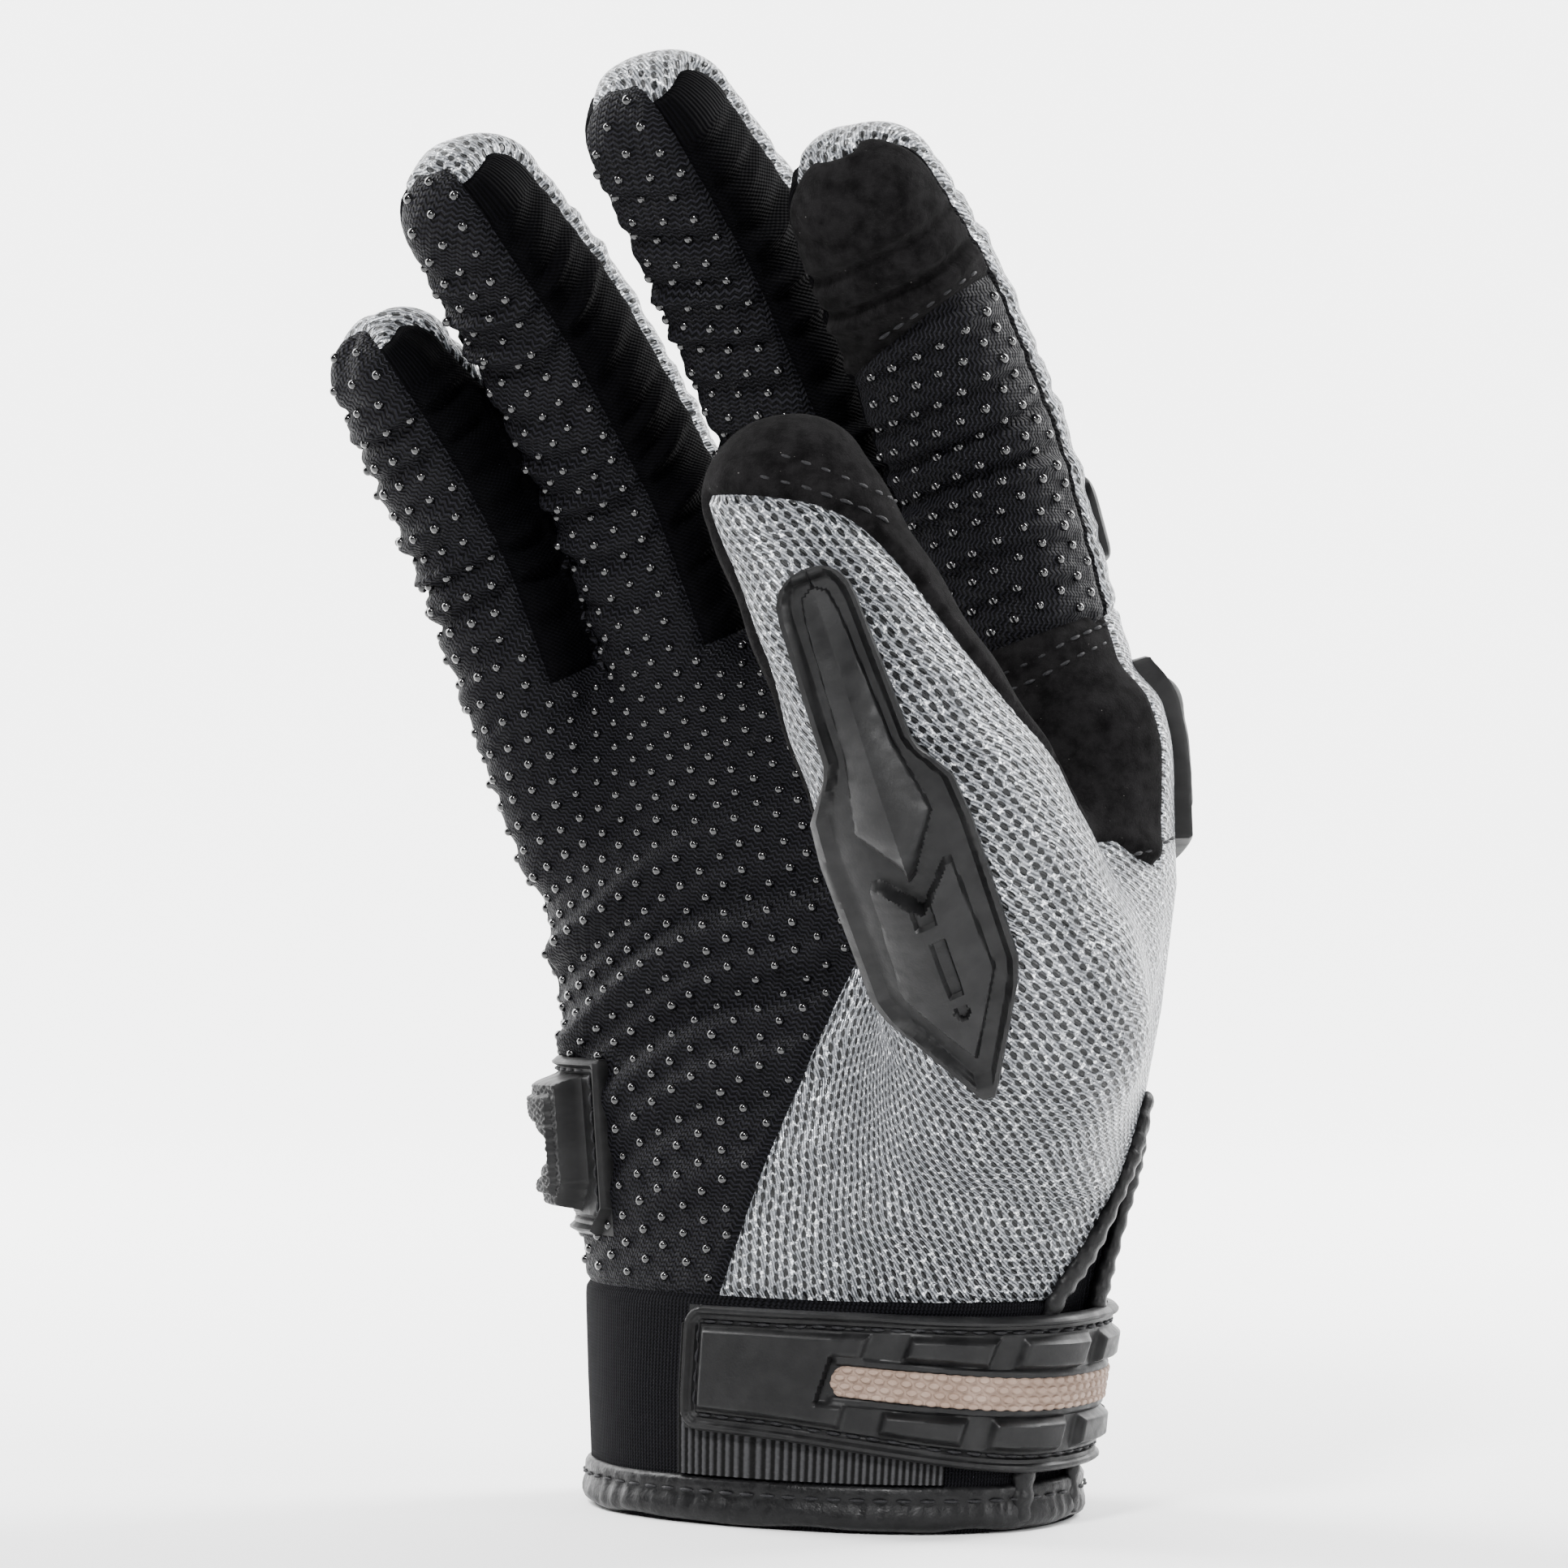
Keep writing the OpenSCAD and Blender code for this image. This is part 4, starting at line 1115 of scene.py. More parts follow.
def wrist_strap(materials):
    a, w, wide, base, normal, total = strap_grid(520, 88)
    mid = wide * 0.5
    corner = 3.2
    dx = np.minimum(a, total - a)
    dw = np.minimum(w, wide - w)
    inset = np.where((dx < corner) & (dw < corner),
                     corner - np.hypot(corner - dx, corner - dw), np.minimum(dx, dw))
    height = 2.3 + 0.7 * box_bump(inset, 0.0, 1.5, 0.5) - 0.5 * box_bump(inset, 2.0, 2.9, 0.3)
    height = np.where(inset < 0, 1.15, height)
    core = inset - 3.1
    # plain plateau near the tab end, then pairs of tread blocks either side of the tan strip
    slant = (w - mid) * 0.22
    plateau = np.minimum(core, 29.5 + slant - a)
    channel = np.where(a > 24.5 + slant, np.abs(w - mid) - TAN_HALF - 0.65, 9)
    height += 1.3 * ramp(np.minimum(plateau, channel), 0, 1.1)
    pitch, first = 16.0, 33.5
    cell = (a - first - slant) % pitch
    number = np.floor((a - first - slant) / pitch)
    beside = np.minimum(core, np.abs(w - mid) - TAN_HALF - 1.2)
    block = np.minimum(np.minimum(cell - 1.2, pitch - 1.6 - cell), beside)
    block = np.where((number < 0) | (a > total - 14), -1, block)
    height += 1.6 * ramp(block, 0, 1.3)
    rail = np.abs(np.abs(w - mid) - TAN_HALF - 0.55)
    height += 0.5 * (1 - ramp(rail, 0.35, 0.75)) * ramp(a, 25, 26.5) * (1 - ramp(a, total - 12, total - 11))
    uv = np.stack([a, w], -1)
    obj = relief("wrist_strap", base, normal, height, uv, materials["tpr"], 1.1,
                 not facing_out(base, normal), True)
    finish_part(obj, strap_blend, "tpr", "strap_anchor", "flap_plate", "flap_hinge_web")
    rows = []
    for at in (2.45, -2.45):
        z = np.where(at > 0, w[:, 0] * 0 + at, wide[:, 0] + at)
        index = np.array([np.argmin(np.abs(row - k)) for row, k in zip(w, z)])
        pick = np.arange(len(index))
        keep = slice(8, -8)
        line = (base + normal * 2.1)[pick, index][keep]
        rows.append((line, normal[pick, index][keep]))
    column = np.argmin(np.abs(a[:, 0] - 2.45))
    rows.append(((base + normal * 2.1)[column, 12:-12], normal[column, 12:-12]))
    stitch_piece("strap_stitches", rows, strap_blend, "tpr", materials, pitch=3.2)


def tan_strip(materials):
    """Tan insert with staggered oval studs down the middle of the strap."""
    probe = strap_grid(20, 4)[5]
    a, w, wide, base, normal, _ = strap_grid(760, 300, 25.6, probe - 13)
    mid = wide * 0.5
    v = w - mid
    keep = np.flatnonzero(np.abs(v[0]) < TAN_HALF)
    low, high = keep[0], keep[-1] + 1
    a, v, base, normal = a[:, low:high], v[:, low:high], base[:, low:high], normal[:, low:high]
    v = np.linspace(-TAN_HALF, TAN_HALF, v.shape[1])[None] + 0 * a
    round_end = np.minimum(a - a.min(), a.max() - a)
    inside = np.clip(TAN_HALF - round_end, 0, None)
    half = np.sqrt(np.maximum(TAN_HALF ** 2 - inside ** 2, 0.01))
    scale = half / TAN_HALF
    centre = base[:, base.shape[1] // 2][:, None]
    base = centre + (base - centre) * scale[..., None]
    v = v * scale
    row = np.floor((v + 2.5) / 1.25)
    cu = ((a + 1.0 * (row % 2)) % 2.0) / 2.0 - 0.5
    cv = ((v + 2.5) % 1.25) / 1.25 - 0.5
    stud = 1 - ramp(np.hypot(cu / 0.42, cv / 0.40), 0.75, 1.1)
    height = 2.7 + 0.5 * stud - 0.4 * (1 - ramp(half - np.abs(v), 0, 0.5))
    uv = np.stack([a, v], -1)
    obj = relief("tan_strip_studs", base, normal, height, uv, materials["tan_rubber"], 1.9,
                 not facing_out(base, normal))
    finish_part(obj, strap_blend, "tan_rubber", "tan_strip_anchor", "flap_tan_strip")


def fastener(materials):
    """Ribbed loop strip on the cuff and the hook patch under the strap's tab."""
    for name, body, z0, z1, t0, t1, high, foot, slot, node, pitch in (
            ("loop_strip", "hand", 7.6, 31, -106, -46, 0.9, -0.4, "loop", "loop_patch", 1.1),
            ("hook_strip", "strap_flap", 15.5, 31.5, -101, -60, 1.05, 1.7, "hook", "hook_patch", 1.6)):
        angle = np.linspace(t0, t1, 340)
        z = np.linspace(z0, z1, 40)
        tt, zz = np.meshgrid(angle, z, indexing="ij")
        if name == "hook_strip":
            zz = np.maximum(zz, strap_low(tt) + 1.5)
        base, normal = round_palm(zz, tt)
        arc = np.radians(tt) * WRIST_RADIUS
        height = high + 0.16 * np.sin(arc * 2 * math.pi / pitch) + 0.05 * np.sin(zz * 6)
        obj = relief(name, base, normal, height, np.stack([arc, zz], -1), materials[slot], foot,
                     not facing_out(base, normal) if foot < high else facing_out(base, normal))
        finish_part(obj, (body,), slot, node)


def rolled_hem(materials):
    """Faux leather rolled round the wrist edge, puckered by its stitching."""
    columns = 420
    angle = np.arange(columns) * 360 / columns
    profile = [(6.9, -0.2), (6.8, 0.55), (6.2, 0.95), (5.2, 1.0), (4.5, 0.85), (3.9, 0.95), (3.2, 1.25),
               (2.4, 1.5), (1.4, 1.6), (0.6, 1.3), (0.1, 0.7), (-0.1, 0.2), (0.0, -1.2), (0.5, -2.6),
               (1.6, -3.3), (3.2, -3.4), (6.0, -3.0)]
    zz = np.repeat(np.array([[max(z, 0.0)] for z, _ in profile]), columns, 1)
    off = np.repeat(np.array([[o] for _, o in profile]), columns, 1)
    base, normal = round_palm(zz, np.repeat(angle[None], len(profile), 0))
    turn = np.radians(angle)
    pucker = np.sin(turn * 75 + 2.2 * np.sin(turn * 7)) * (0.6 + 0.4 * np.sin(turn * 11 + 1))
    soft = np.array([bump(z, 3.3, 2.2) * (o > 0) for z, o in profile])[:, None]
    wave = 0.5 * np.sin(turn * 9 + 1.0) + 0.3 * np.sin(turn * 17)
    points = base + normal * (off + 0.16 * pucker * soft + 0.25 * wave * soft)[..., None]
    points[..., 2] = np.array([z for z, _ in profile])[:, None] + 0.35 * wave * (zz < 2) + 0.35
    uv = np.stack([np.repeat(turn[None] * WRIST_RADIUS, len(profile), 0), zz], -1)
    faces = sheet_faces(len(profile), columns, closed=True)
    obj = mesh_object("hem_roll", points.reshape(-1, 3), faces[:, ::-1], uv.reshape(-1, 2),
                      material=materials["faux_leather"])
    finish_part(obj, ("hand",), "faux_leather", "hem_binding")
    ring = np.linspace(0, 360, 420)
    stitch_piece("hem_stitches", [line_on_palm(np.full(420, 5.05), ring, 1.15)], ("hand",),
                 "faux_leather", materials, pitch=3.7, length=2.4)


def sweep(name, line, normals, radii, material, sides=14, squash=0.75):
    """A soft round-edged welt along a line."""
    along = unit(np.gradient(line, axis=0))
    side = unit(np.cross(along, normals))
    turn = np.arange(sides) * 2 * math.pi / sides
    ring = (np.cos(turn)[None, :, None] * side[:, None] * radii[:, None, None]
            + squash * np.sin(turn)[None, :, None] * normals[:, None] * radii[:, None, None])
    points = line[:, None] + ring
    rows = len(line)
    run = run_along(line)
    uv = np.stack(np.meshgrid(run, turn * 2.0, indexing="ij"), -1)
    ends = [np.arange(sides)[::-1][None], (np.arange(sides) + (rows - 1) * sides)[None]]
    faces = [sheet_faces(rows, sides, closed=True)] + ends
    return mesh_object(name, points.reshape(-1, 3), faces, uv.reshape(-1, 2), material=material)


def slit_welt(materials):
    """Puckered binding round the wrist opening."""
    up = np.linspace(1.5, SLIT_TOP, 90)
    half = 1.5 + SLIT_HALF * ramp(SLIT_TOP - up, -4, 34)
    half = half * np.sqrt(np.clip((SLIT_TOP + 0.4 - up) / 4.0, 0, 1))
    z = np.concatenate([up, up[-2::-1]])
    angle = slit_middle(z) + np.concatenate([-half, half[-2::-1]])
    p, n = round_palm(z, angle)
    for _ in range(6):
        p[1:-1] = (p[:-2] + 2 * p[1:-1] + p[2:]) / 4
    run = run_along(p)
    even = np.linspace(0, run[-1], 260)
    line = resample(even, run, p)
    normal = unit(resample(even, run, n))
    radii = 1.8 + 0.22 * np.sin(even * 1.9 + np.sin(even * 0.31)) + 0.25 * np.sin(even * 0.33)
    obj = sweep("slit_welt", line + normal * 0.3, normal, radii, materials["faux_leather"])
    finish_part(obj, ("hand",), "faux_leather", "slit_binding")


def knuckle_shell(materials):
    """Hard knuckle guard: four raised knuckles behind a rim."""
    start, end = 14, 160
    middle, half = (start + end) / 2, (end - start) / 2
    share, tt = np.meshgrid(np.linspace(0, 1, 110), np.linspace(start, end, 240), indexing="ij")
    across = (tt - middle) / half
    wing = ramp(-across, 0.3, 1.0)
    low = 97 + 6.0 * np.abs(across) ** 2.2 + 4 * wing
    high = 129 - 3 * np.abs(across) ** 2.6 + 10 * wing
    zz = low + (high - low) * share
    base, normal = round_palm(zz, tt)
    arc = (tt - start) / (end - start)
    gap = np.minimum(np.minimum(arc, 1 - arc) * 127, np.minimum(zz - low, high - zz))
    knuckle = np.cos((tt - 90) * math.pi / 31)
    height = 2.2 + 0.7 * box_bump(gap, 0, 1.6, 0.5)
    dome = ramp(gap, 2.0, 8.0)
    height += 4.2 * dome * (0.72 + 0.28 * knuckle) * (1 - 0.75 * np.abs(across) ** 3)
    vent = box_bump((arc * 4) % 1, 0.36, 0.64, 0.05) * box_bump(share, 0.30, 0.62, 0.06)
    height -= 1.5 * vent * dome
    ridge = np.abs(((arc * 4) % 1) - 0.5) * 4
    height += 0.8 * dome * (1 - ramp(ridge, 0.1, 1.5)) * box_bump(share, 0.62, 0.98, 0.1)
    uv = np.stack([arc * 108, zz], -1)
    obj = relief("knuckle_guard_shell", base, normal, height, uv, materials["tpr"], -0.8,
                 not facing_out(base, normal))
    finish_part(obj, ("hand",), "tpr", "knuckle_guard")


def finger_guards(materials):
    """Small ridged shields on the backs of three fingers."""
    for finger, rise in (("index", 3.6), ("middle", 3.4), ("ring", 3.2)):
        tube = TUBES[finger]
        s = np.linspace(28, 43.5, 46)
        turn = np.linspace(-1, 1, 60)
        ss, tt = np.meshgrid(s, turn, indexing="ij")
        width = (52 if finger == "index" else 34) * np.sqrt(np.clip(1 - ((ss - 35.7) / 8.4) ** 4, 0.05, 1))
        angle = np.radians(90 + tt * width)
        c, side, back = (resample(ss, tube.s, t) for t in (tube.c, tube.side, tube.back))
        guess = c + 14 * (np.cos(angle)[..., None] * side + np.sin(angle)[..., None] * back)
        base, normal = settle(guess.reshape(-1, 3))
        base, normal = base.reshape(guess.shape), normal.reshape(guess.shape)
        gap = np.minimum(np.minimum(ss - 28, 43.5 - ss), (1 - np.abs(tt)) * 7)
        height = 0.9 + 0.5 * box_bump(gap, 0, 1.2, 0.4)
        height += rise * 0.6 * ramp(gap, 1.2, 4.0) * (1 - 0.35 * np.abs(tt))
        height -= 0.5 * box_bump(np.abs(ss - 35.7), -1, 0.7, 0.2) * ramp(gap, 1.5, 2.5)
        uv = np.stack([tt * 8, ss], -1)
        obj = relief(finger + "_guard_shell", base, normal, height, uv, materials["tpr"], -0.6,
                     not facing_out(base, normal))
        finish_part(obj, (finger + "_base",), "tpr", finger + "_guard")


# ---------------------------------------------------------------- finishes
class Finish:
    """A node material: `add` makes a node and wires or sets its inputs."""

    def __init__(self, name, colour, rough, **extra):
        self.material = bpy.data.materials.new(name)
        self.material.use_nodes = True
        self.tree = self.material.node_tree
        self.surface = self.tree.nodes["Principled BSDF"]
        self.surface.inputs["Base Color"].default_value = (*colour, 1)
        self.surface.inputs["Roughness"].default_value = rough
        for key, value in extra.items():
            self.surface.inputs[key.replace("_", " ")].default_value = value

    def add(self, kind, out=0, settings=(), **inputs):
        node = self.tree.nodes.new("ShaderNode" + kind)
        for key, value in dict(settings).items():
            setattr(node, key, value)
        for key, value in inputs.items():
            socket = node.inputs[int(key[1:])] if key[0] == "i" and key[1:].isdigit() \
                else node.inputs[key.replace("_", " ")]
            if isinstance(value, bpy.types.NodeSocket):
                self.tree.links.new(value, socket)
            else:
                socket.default_value = value
        return node.outputs[out]

    def maths(self, operation, a, b=0.0, c=0.0):
        return self.add("Math", settings={"operation": operation}, i0=a, i1=b, i2=c)

    def smooth(self, value, low, high, to_low=0.0, to_high=1.0):
        return self.add("MapRange", settings={"interpolation_type": "SMOOTHSTEP"}, Value=value,
                        From_Min=low, From_Max=high, To_Min=to_low, To_Max=to_high)

    def flat(self):
        node = self.tree.nodes.new("ShaderNodeUVMap")
        node.uv_map = "UVMap"
        split = self.tree.nodes.new("ShaderNodeSeparateXYZ")
        self.tree.links.new(node.outputs[0], split.inputs[0])
        return split.outputs[0], split.outputs[1]

    def rest(self):
        return self.add("Attribute", 1, {"attribute_name": "rest"})

    def noise(self, scale, detail=2.0, rough=0.5):
        return self.add("TexNoise", 0, Vector=self.rest(), Scale=scale, Detail=detail, Roughness=rough)

    def colours(self, value, one, two):
        node = self.tree.nodes.new("ShaderNodeMix")
        node.data_type = "RGBA"
        for socket, item in ((node.inputs[0], value), (node.inputs[6], one), (node.inputs[7], two)):
            if isinstance(item, bpy.types.NodeSocket):
                self.tree.links.new(item, socket)
            else:
                socket.default_value = item if isinstance(item, float) else (*item, 1)
        return node.outputs[2]

    def use(self, name, value):
        self.tree.links.new(value, self.surface.inputs[name])

    def bumps(self, *layers):
        """Bump layers: (height, strength, distance in millimetres)."""
        last = None
        for height, strength, distance in layers:
            inputs = dict(Height=height, Strength=strength, Distance=distance * MM)
            if last is not None:
                inputs["Normal"] = last
            last = self.add("Bump", **inputs)
        self.use("Normal", last)


def knitted_mesh():
    """Silver-grey open mesh: staggered rows of loops round dark holes, with painted shade and highlight on
    the yarn and painted glints.
    """
    f = Finish("silver_mesh", (0.4, 0.4, 0.4), 0.5, Metallic=0.45, Specular_IOR_Level=0.5)
    u, v = f.flat()
    drift = f.noise(0.09, 1.0)
    v = f.maths("ADD", v, f.maths("MULTIPLY", drift, 3.0))
    row = f.maths("MULTIPLY", v, 1 / 1.5)
    shift = f.maths("MULTIPLY", f.maths("FLOORED_MODULO", f.maths("FLOOR", row), 2.0), 0.5)
    fu = f.maths("SUBTRACT", f.maths("FRACT", f.maths("ADD", f.maths("MULTIPLY", u, 1 / 1.9), shift)), 0.5)
    fv = f.maths("SUBTRACT", f.maths("FRACT", row), 0.5)
    across = f.maths("MULTIPLY", fu, 1 / 0.31)
    up = f.maths("MULTIPLY", f.maths("ADD", fv, f.maths("MULTIPLY", fu, 0.7)), 1 / 0.36)
    reach = f.maths("SQRT", f.maths("ADD", f.maths("MULTIPLY", across, across), f.maths("MULTIPLY", up, up)))
    yarn = f.smooth(reach, 0.72, 1.12)
    twist = f.maths("SINE", f.maths("MULTIPLY", f.maths("ADD", f.maths("MULTIPLY", u, 0.8), v), 9.5))
    # random heather tone in the yarn, its brightest flecks also a painted sparkle of highlight
    heather_and_sparkle = f.smooth(f.noise(1.6, 2.0, 0.7), 0.38, 0.64)
    bright = f.colours(heather_and_sparkle, (0.011, 0.013, 0.016), (0.22, 0.23, 0.25))
    # the twist painted dark in the gaps between plies and light on their crests: painted shade and painted
    # highlight
    ply_shade_and_highlight = f.colours(f.smooth(twist, -1.0, 1.0), (0.011, 0.013, 0.016), (0.33, 0.345, 0.37))
    bright = f.colours(0.5, bright, ply_shade_and_highlight)
    # painted glints: patches of near-white highlight put into the base colour
    glint = f.smooth(f.noise(1.3, 3.0, 0.75), 0.56, 0.64)
    bright = f.colours(glint, bright, (0.92, 0.94, 0.97))
    f.use("Base Color", f.colours(yarn, (0.004, 0.0045, 0.005), bright))
    f.use("Roughness", f.smooth(f.noise(1.8), 0.3, 0.7, 0.24, 0.5))
    f.bumps((yarn, 0.9, 0.55), (twist, 0.5, 0.2))
    return f.material


def dotted_knit():
    """Black knit with zigzag courses, painted lighter on their crests and darker between them."""
    f = Finish("zigzag_knit", (0.012, 0.012, 0.015), 0.55, Specular_IOR_Level=0.07)
    u, v = f.flat()
    v = f.maths("ADD", v, f.maths("MULTIPLY", f.noise(0.12, 1.0), 2.0))
    zig = f.maths("PINGPONG", u, 0.75)
    course = f.maths("MULTIPLY", f.maths("ADD", v, f.maths("MULTIPLY", zig, 0.6)), 1 / 0.78)
    line = f.maths("SINE", f.maths("MULTIPLY", course, 2 * math.pi))
    loop = f.maths("SINE", f.maths("MULTIPLY", u, 2 * math.pi / 0.5))
    height = f.maths("ADD", f.smooth(line, -1.0, 0.6), f.maths("MULTIPLY", loop, 0.12))
    # painted highlight on the crests of the courses and painted shade between them, following the knit's
    # relief
    f.use("Base Color", f.colours(f.smooth(line, -0.4, 1.0), (0.0004, 0.0004, 0.0006),
                                  (0.0075, 0.0075, 0.010)))
    f.use("Roughness", f.smooth(f.noise(0.9), 0.3, 0.7, 0.5, 0.72))
    f.bumps((height, 0.9, 0.3), (f.noise(0.25, 2.0), 0.3, 0.8))
    return f.material


def twill(name, colour, light, rough, pitch, depth=0.12):
    """Fine diagonal weave for stretch cloth, painted lighter on its rib crests and darker between them."""
    f = Finish(name, colour, rough, Specular_IOR_Level=0.03)
    u, v = f.flat()
    rib = f.maths("SINE", f.maths("MULTIPLY", f.maths("ADD", u, v), 2 * math.pi / pitch))
    cross = f.maths("SINE", f.maths("MULTIPLY", f.maths("SUBTRACT", v, f.maths("MULTIPLY", u, 0.4)),
                                    2 * math.pi / (pitch * 0.8)))
    height = f.maths("ADD", rib, f.maths("MULTIPLY", cross, 0.5))
    # painted highlight on the rib crests and painted shade between them, following the weave's relief
    f.use("Base Color", f.colours(f.smooth(height, -1.2, 1.3), colour, light))
    f.bumps((height, 0.6, depth), (f.noise(0.16, 2.0), 0.35, 1.0))
    return f.material


def suede():
    """Napped microfibre: matt, cloudy, with short fibres and a few lint specks."""
    f = Finish("black_suede", (0.016, 0.015, 0.015), 0.95, Sheen_Weight=0.012, Sheen_Roughness=0.5,
               Specular_IOR_Level=0.03)
    cloud = f.smooth(f.noise(0.35, 4.0, 0.65), 0.3, 0.7)
    nap = f.noise(3.2, 4.0, 0.75)
    base = f.colours(cloud, (0.0018, 0.0017, 0.0018), (0.0075, 0.0072, 0.0075))
    speck = f.smooth(f.noise(2.1, 1.0), 0.79, 0.83)
    f.use("Base Color", f.colours(speck, base, (0.12, 0.115, 0.11)))
    f.bumps((nap, 0.75, 0.35), (cloud, 0.25, 0.4))
    return f.material


def moulded(name, dark, light, rough, grain=2.4):
    """Moulded rubber with a fine satin grain and dusty wear."""
    f = Finish(name, dark, rough, Specular_IOR_Level=0.2)
    wear = f.smooth(f.noise(0.22, 3.0), 0.35, 0.75)
    f.use("Base Color", f.colours(wear, dark, light))
    f.use("Roughness", f.smooth(f.noise(0.5, 3.0), 0.3, 0.7, rough - 0.07, rough + 0.1))
    f.bumps((f.noise(grain, 3.0), 0.28, 0.12))
    return f.material


def jersey():
    """Brushed black neoprene jersey with fine upright ribs, painted lighter on their crests and darker
    between them.
    """
    f = Finish("cuff_jersey", (0.012, 0.012, 0.014), 0.85, Specular_IOR_Level=0.04)
    u, v = f.flat()
    rib = f.maths("SINE", f.maths("MULTIPLY", u, 2 * math.pi / 0.62))
    zig = f.maths("PINGPONG", u, 0.31)
    loop = f.maths("SINE", f.maths("MULTIPLY", f.maths("ADD", v, zig), 2 * math.pi / 0.55))
    height = f.maths("ADD", rib, f.maths("MULTIPLY", loop, 0.6))
    # painted highlight on the rib crests and painted shade between them, following the jersey's relief
    f.use("Base Color", f.colours(f.smooth(height, -1.2, 1.4), (0.0008, 0.0008, 0.001),
                                  (0.006, 0.006, 0.0075)))
    f.bumps((height, 0.6, 0.16), (f.noise(0.2, 3.0), 0.3, 1.0))
    return f.material


def faux_leather():
    """Thin soft leathercloth, creased where it is rolled and stitched."""
    f = Finish("faux_leather", (0.011, 0.011, 0.012), 0.42, Specular_IOR_Level=0.18)
    crease = f.noise(0.42, 4.0, 0.6)
    grain = f.add("TexVoronoi", 0, {"feature": "F1"}, Vector=f.rest(), Scale=2.4)
    f.use("Roughness", f.smooth(f.noise(0.6, 3.0), 0.3, 0.7, 0.34, 0.52))
    # painted shade: darker in the hollows of the creases, lighter on their tops
    f.use("Base Color", f.colours(f.smooth(crease, 0.3, 0.7), (0.002, 0.002, 0.0023), (0.005, 0.005, 0.0055)))
    f.bumps((crease, 0.35, 0.8), (grain, 0.15, 0.1))
    return f.material


def ribbed_fastener(name, light):
    f = Finish(name, (0.02, 0.02, 0.02), 0.9, Specular_IOR_Level=0.15)
    u = f.flat()[0]
    tuft = f.add("TexVoronoi", 0, {"feature": "F1"}, Vector=f.rest(), Scale=1.5)
    rib = f.maths("SINE", f.maths("MULTIPLY", u, 2 * math.pi / 1.1))
    # painted highlight on the rib crests and painted shade between them
    f.use("Base Color", f.colours(f.smooth(rib, -0.8, 1.0), (0.002, 0.002, 0.002), light))
    f.bumps((rib, 0.7, 0.3), (tuft, 0.6, 0.3))
    return f.material


def soft_foam():
    f = Finish("guard_foam", (0.05, 0.05, 0.05), 0.95)
    cells = f.add("TexVoronoi", 0, {"feature": "F1"}, Vector=f.rest(), Scale=1.2)
    # painted shade: darker in the pits of the cells
    f.use("Base Color", f.colours(f.smooth(cells, 0.1, 0.6), (0.02, 0.02, 0.02), (0.07, 0.07, 0.07)))
    f.bumps((cells, 0.6, 0.4))
    return f.material


def grip_rubber():
    f = Finish("grip_dots", (0.003, 0.003, 0.0035), 0.1, Specular_IOR_Level=0.5, Coat_Weight=0.45,
               Coat_Roughness=0.04)
    f.use("Roughness", f.smooth(f.noise(1.2, 2.0), 0.3, 0.7, 0.09, 0.17))
    f.bumps((f.noise(1.5, 2.0), 0.12, 0.1))
    return f.material


def sewing_thread():
    f = Finish("black_thread", (0.012, 0.012, 0.014), 0.6, Specular_IOR_Level=0.2)
    ply = f.noise(4.0, 2.0)
    f.use("Base Color", f.colours(f.smooth(ply, 0.35, 0.65), (0.003, 0.003, 0.0035), (0.012, 0.012, 0.014)))
    f.bumps((ply, 0.5, 0.15))
    return f.material


def all_materials():
    return {"mesh": knitted_mesh(), "dot_knit": dotted_knit(), "suede": suede(),
            # finger walls' stretch cloth: near-black partly as its own colour and partly as painted shade
            # between the fingers
            "lycra": twill("stretch_wall", (0.0002, 0.0002, 0.0003), (0.0012, 0.0012, 0.0018), 0.8, 0.8),
            "lining": twill("soft_lining", (0.03, 0.03, 0.032), (0.06, 0.06, 0.065), 0.9, 1.2),
            "neoprene": jersey(), "faux_leather": faux_leather(),
            "tpr": moulded("moulded_rubber", (0.0035, 0.0035, 0.0038), (0.008, 0.008, 0.0083), 0.46),
            "tan_rubber": moulded("tan_rubber", (0.185, 0.13, 0.10), (0.24, 0.175, 0.14), 0.62),
            "loop": ribbed_fastener("loop_pile", (0.035, 0.035, 0.037)),
            "hook": ribbed_fastener("hook_tape", (0.03, 0.03, 0.03)),
            "foam": soft_foam(), "dots": grip_rubber(), "thread": sewing_thread()}


# ---------------------------------------------------------------- stage
CAMERA_FAR = 0.85
CAMERA_LENS = 121.9


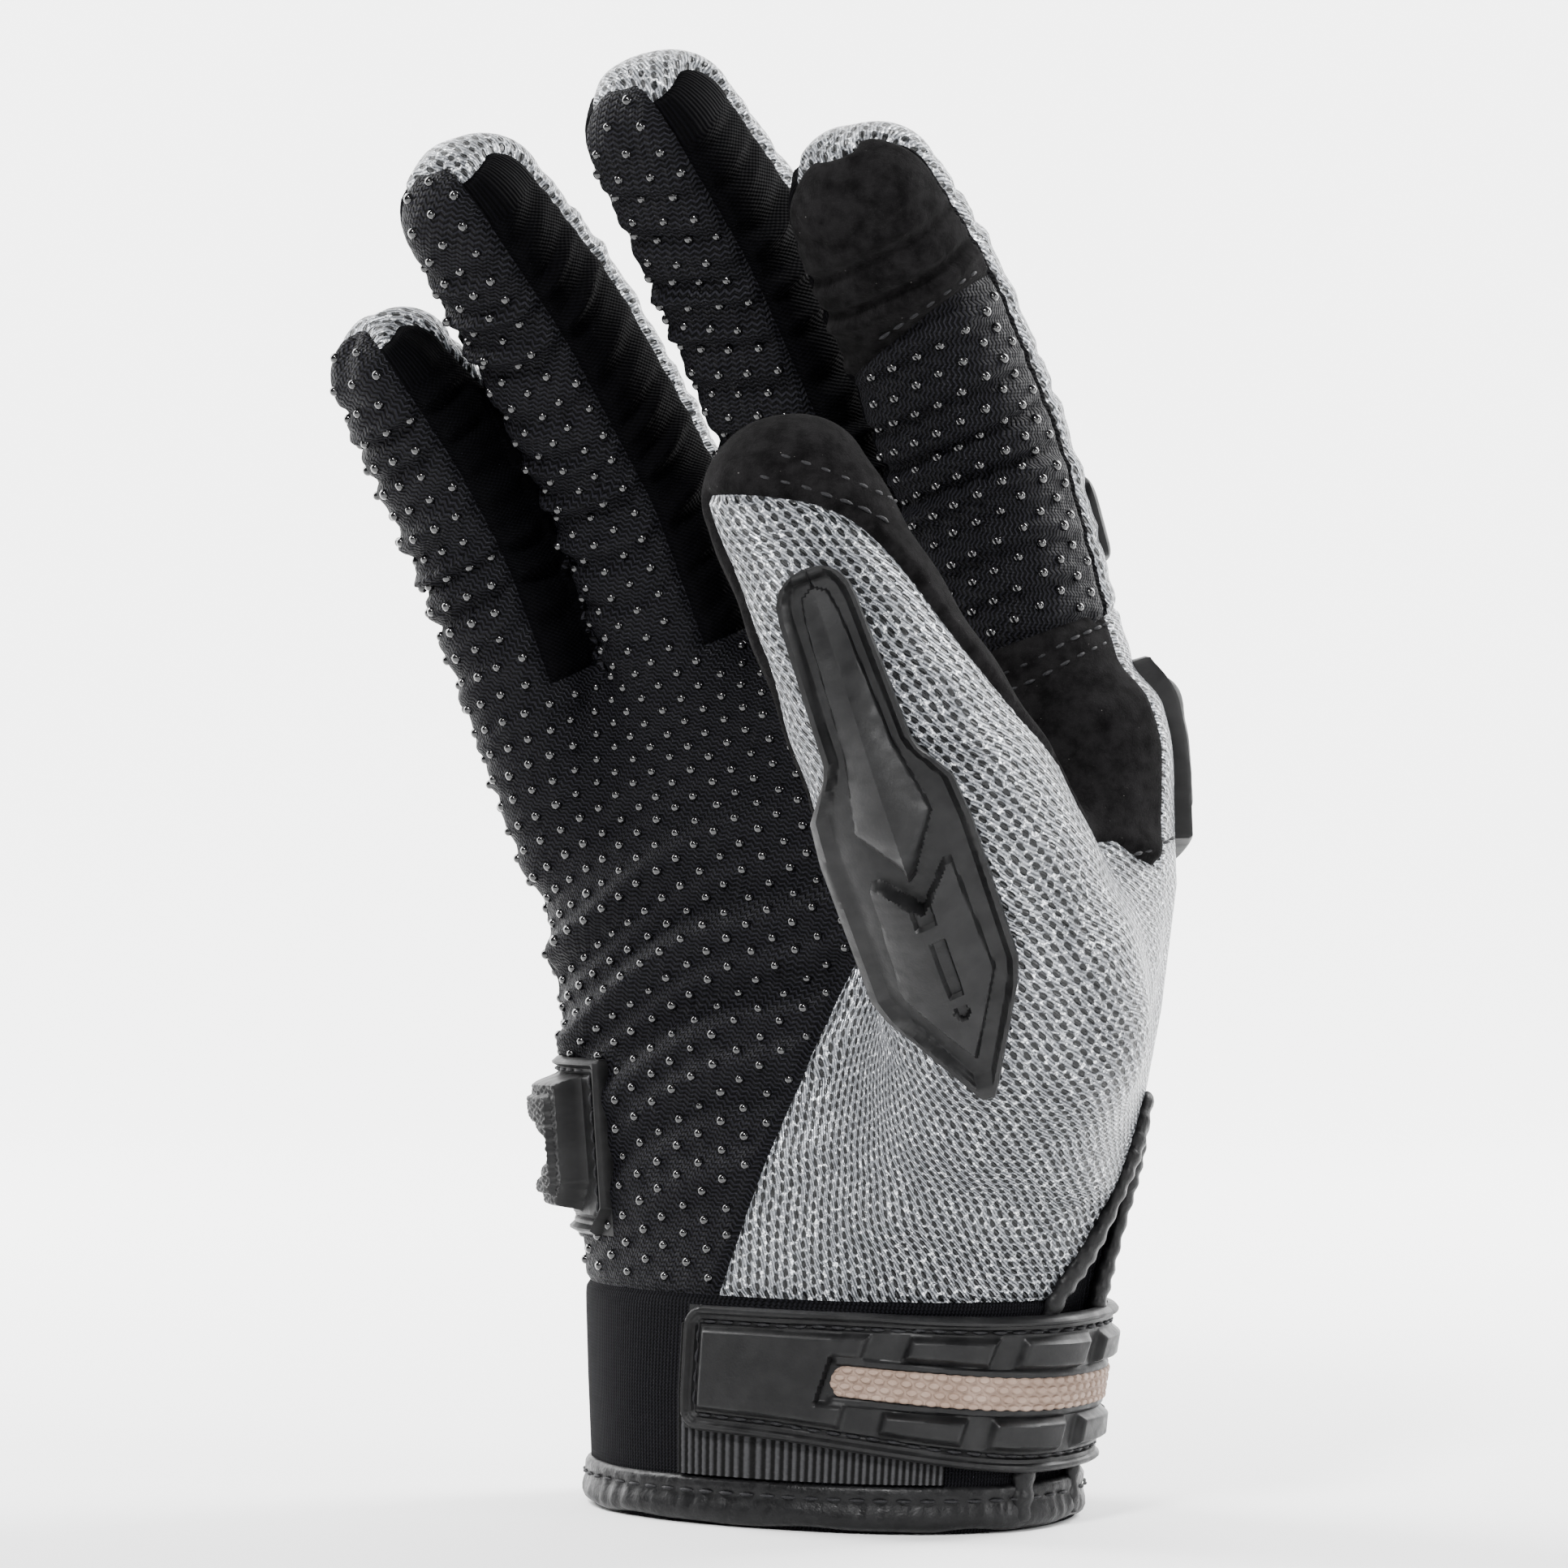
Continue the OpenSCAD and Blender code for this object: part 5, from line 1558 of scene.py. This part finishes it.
def camera_and_light():
    side = Vector(VIEW_SIDE)
    back = Vector(TO_VIEWER)
    target = side * -0.00766 + Vector((0, 0, 0.1155))
    data = bpy.data.cameras.new("view")
    camera = bpy.data.objects.new("view", data)
    bpy.context.collection.objects.link(camera)
    camera.location = target + back * CAMERA_FAR
    camera.rotation_mode = "QUATERNION"
    camera.rotation_quaternion = (-back).to_track_quat("-Z", "Y")
    data.lens = CAMERA_LENS
    data.sensor_width = 36.0
    bpy.context.scene.camera = camera
    lamps = (("key", side * -0.35 + back * 0.85 + Vector((0, 0, 0.85)), 0.2, 23.0),
             ("fill", side * 0.85 + back * 0.5 + Vector((0, 0, 0.30)), 0.35, 7.5),
             ("front", side * 0.05 + back * 1.2 + Vector((0, 0, 0.45)), 0.2, 3.0),
             ("rim_left", side * -0.8 + back * -0.45 + Vector((0, 0, 0.35)), 0.6, 8.0),
             ("rim_right", side * 0.7 + back * -0.55 + Vector((0, 0, 0.5)), 0.6, 8.0),
             ("wash_left", side * -0.9 + back * -0.5 + Vector((0, 0, 1.1)), 0.9, 78.0),
             ("wash_right", side * 0.9 + back * -0.5 + Vector((0, 0, 1.1)), 0.9, 78.0))
    for name, place, size, power in lamps:
        light = bpy.data.lights.new(name, "AREA")
        light.shape = "SQUARE"
        light.size = size
        light.energy = power
        lamp = bpy.data.objects.new(name, light)
        bpy.context.collection.objects.link(lamp)
        lamp.location = place
        lamp.rotation_mode = "QUATERNION"
        aim = back * -1.7 + Vector((0, 0, 0.3)) if "wash" in name else Vector((0, 0, 0.11))
        lamp.rotation_quaternion = (aim - place).to_track_quat("-Z", "Y")
    world = bpy.data.worlds.new("studio")
    world.use_nodes = True
    world.node_tree.nodes["Background"].inputs["Color"].default_value = (0.95, 0.96, 0.97, 1)
    world.node_tree.nodes["Background"].inputs["Strength"].default_value = 0.22
    bpy.context.scene.world = world


def pale_floor():
    """A plain floor that curves up behind into the background."""
    steps = 24
    side = np.linspace(-3000, 3000, 2)
    arc = np.linspace(0, math.pi / 2, steps)
    away = np.concatenate([[-3000], 900 + 900 * np.sin(arc), [1800]])
    rise = np.concatenate([[0], 900 * (1 - np.cos(arc)), [3000]])
    across = VIEW_SIDE
    deep = -TO_VIEWER
    points = [s * across + a * deep + (z - 0.3) * UP for a, z in zip(away, rise) for s in side]
    f = Finish("pale_floor", (0.86, 0.86, 0.86), 0.9)
    f.use("Base Color", f.colours(f.noise(0.004, 1.0), (0.85, 0.85, 0.85), (0.88, 0.88, 0.88)))
    floor = mesh_object("floor", np.array(points), sheet_faces(len(away), 2), material=f.material)


def patch_stitches(materials):
    """Thread rows on the suede patches."""
    def rows(points, low=-99.0, high=99.0):
        side, z = np.array(points, float).T
        run = np.r_[0, np.cumsum(np.hypot(np.diff(side), np.diff(z)))]
        even = np.linspace(0, run[-1], 60)
        plane = view_plane(np.interp(even, run, side), np.interp(even, run, z))
        p, n = cast(plane, -TO_VIEWER)
        off = THUMB_TUBE.distance(p)
        keep = (off > low) & (off < high)
        return (p + n * 0.5)[keep], n[keep]

    web = [rows([(24.5, 131.8), (30, 134.2), (36, 137.6), (42.2, 140.4)], low=5),
           rows([(25.5, 129.2), (31, 131.6), (37, 135.0), (42.8, 137.8)], low=5),
           rows([(44.5, 104.5), (48.5, 105.5), (52.5, 107.5)], low=3)]
    stitch_piece("web_stitches", web, ("hand",), "suede", materials)
    tip = [rows([(-9.5, 163.6), (-3, 161.6), (4.5, 158.4), (9.5, 156.4)], high=1),
           rows([(-12.5, 160.5), (-5, 158.7), (3, 155.8), (8.0, 153.2)], high=1)]
    stitch_piece("thumb_tip_stitches", tip, ("thumb_tip",), "suede", materials)
    pad = [rows([(6.0, 182.2), (12, 186.0), (21.5, 193.0)])]
    stitch_piece("touch_pad_stitches", pad, ("index_tip",), "suede", materials)


def carried_over(materials):
    """CAD parts shown as they are take the finish of their slot."""
    shown = {"knuckle_foam": "foam"}
    for node, slot in shown.items():
        mesh = frame["nodes"][node].data
        mesh.materials.clear()
        mesh.materials.append(materials[slot])


def build():
    low, high, step = (-80, -86, -3), (76, 34, 240), 1.0
    points, quads = surface_net(field_grid(low, high, step), low, step)
    for _ in range(2):
        points = points - gradient(points) * field(points)[:, None]
    skin = Skin(points, quads)
    limb_values(skin)
    finger_seams(skin)
    touch_pad(skin)
    hand_seams(skin)
    slit_seam(skin)
    dress(skin)
    all_uvs(skin)
    materials = all_materials()
    skin_pieces(skin, materials)
    lining(skin, materials)
    grip_dots(skin, materials)
    thumb_guard(materials)
    palm_slider(materials)
    wrist_strap(materials)
    tan_strip(materials)
    fastener(materials)
    rolled_hem(materials)
    slit_welt(materials)
    knuckle_shell(materials)
    finger_guards(materials)
    patch_stitches(materials)
    carried_over(materials)
    camera_and_light()
    pale_floor()


build()
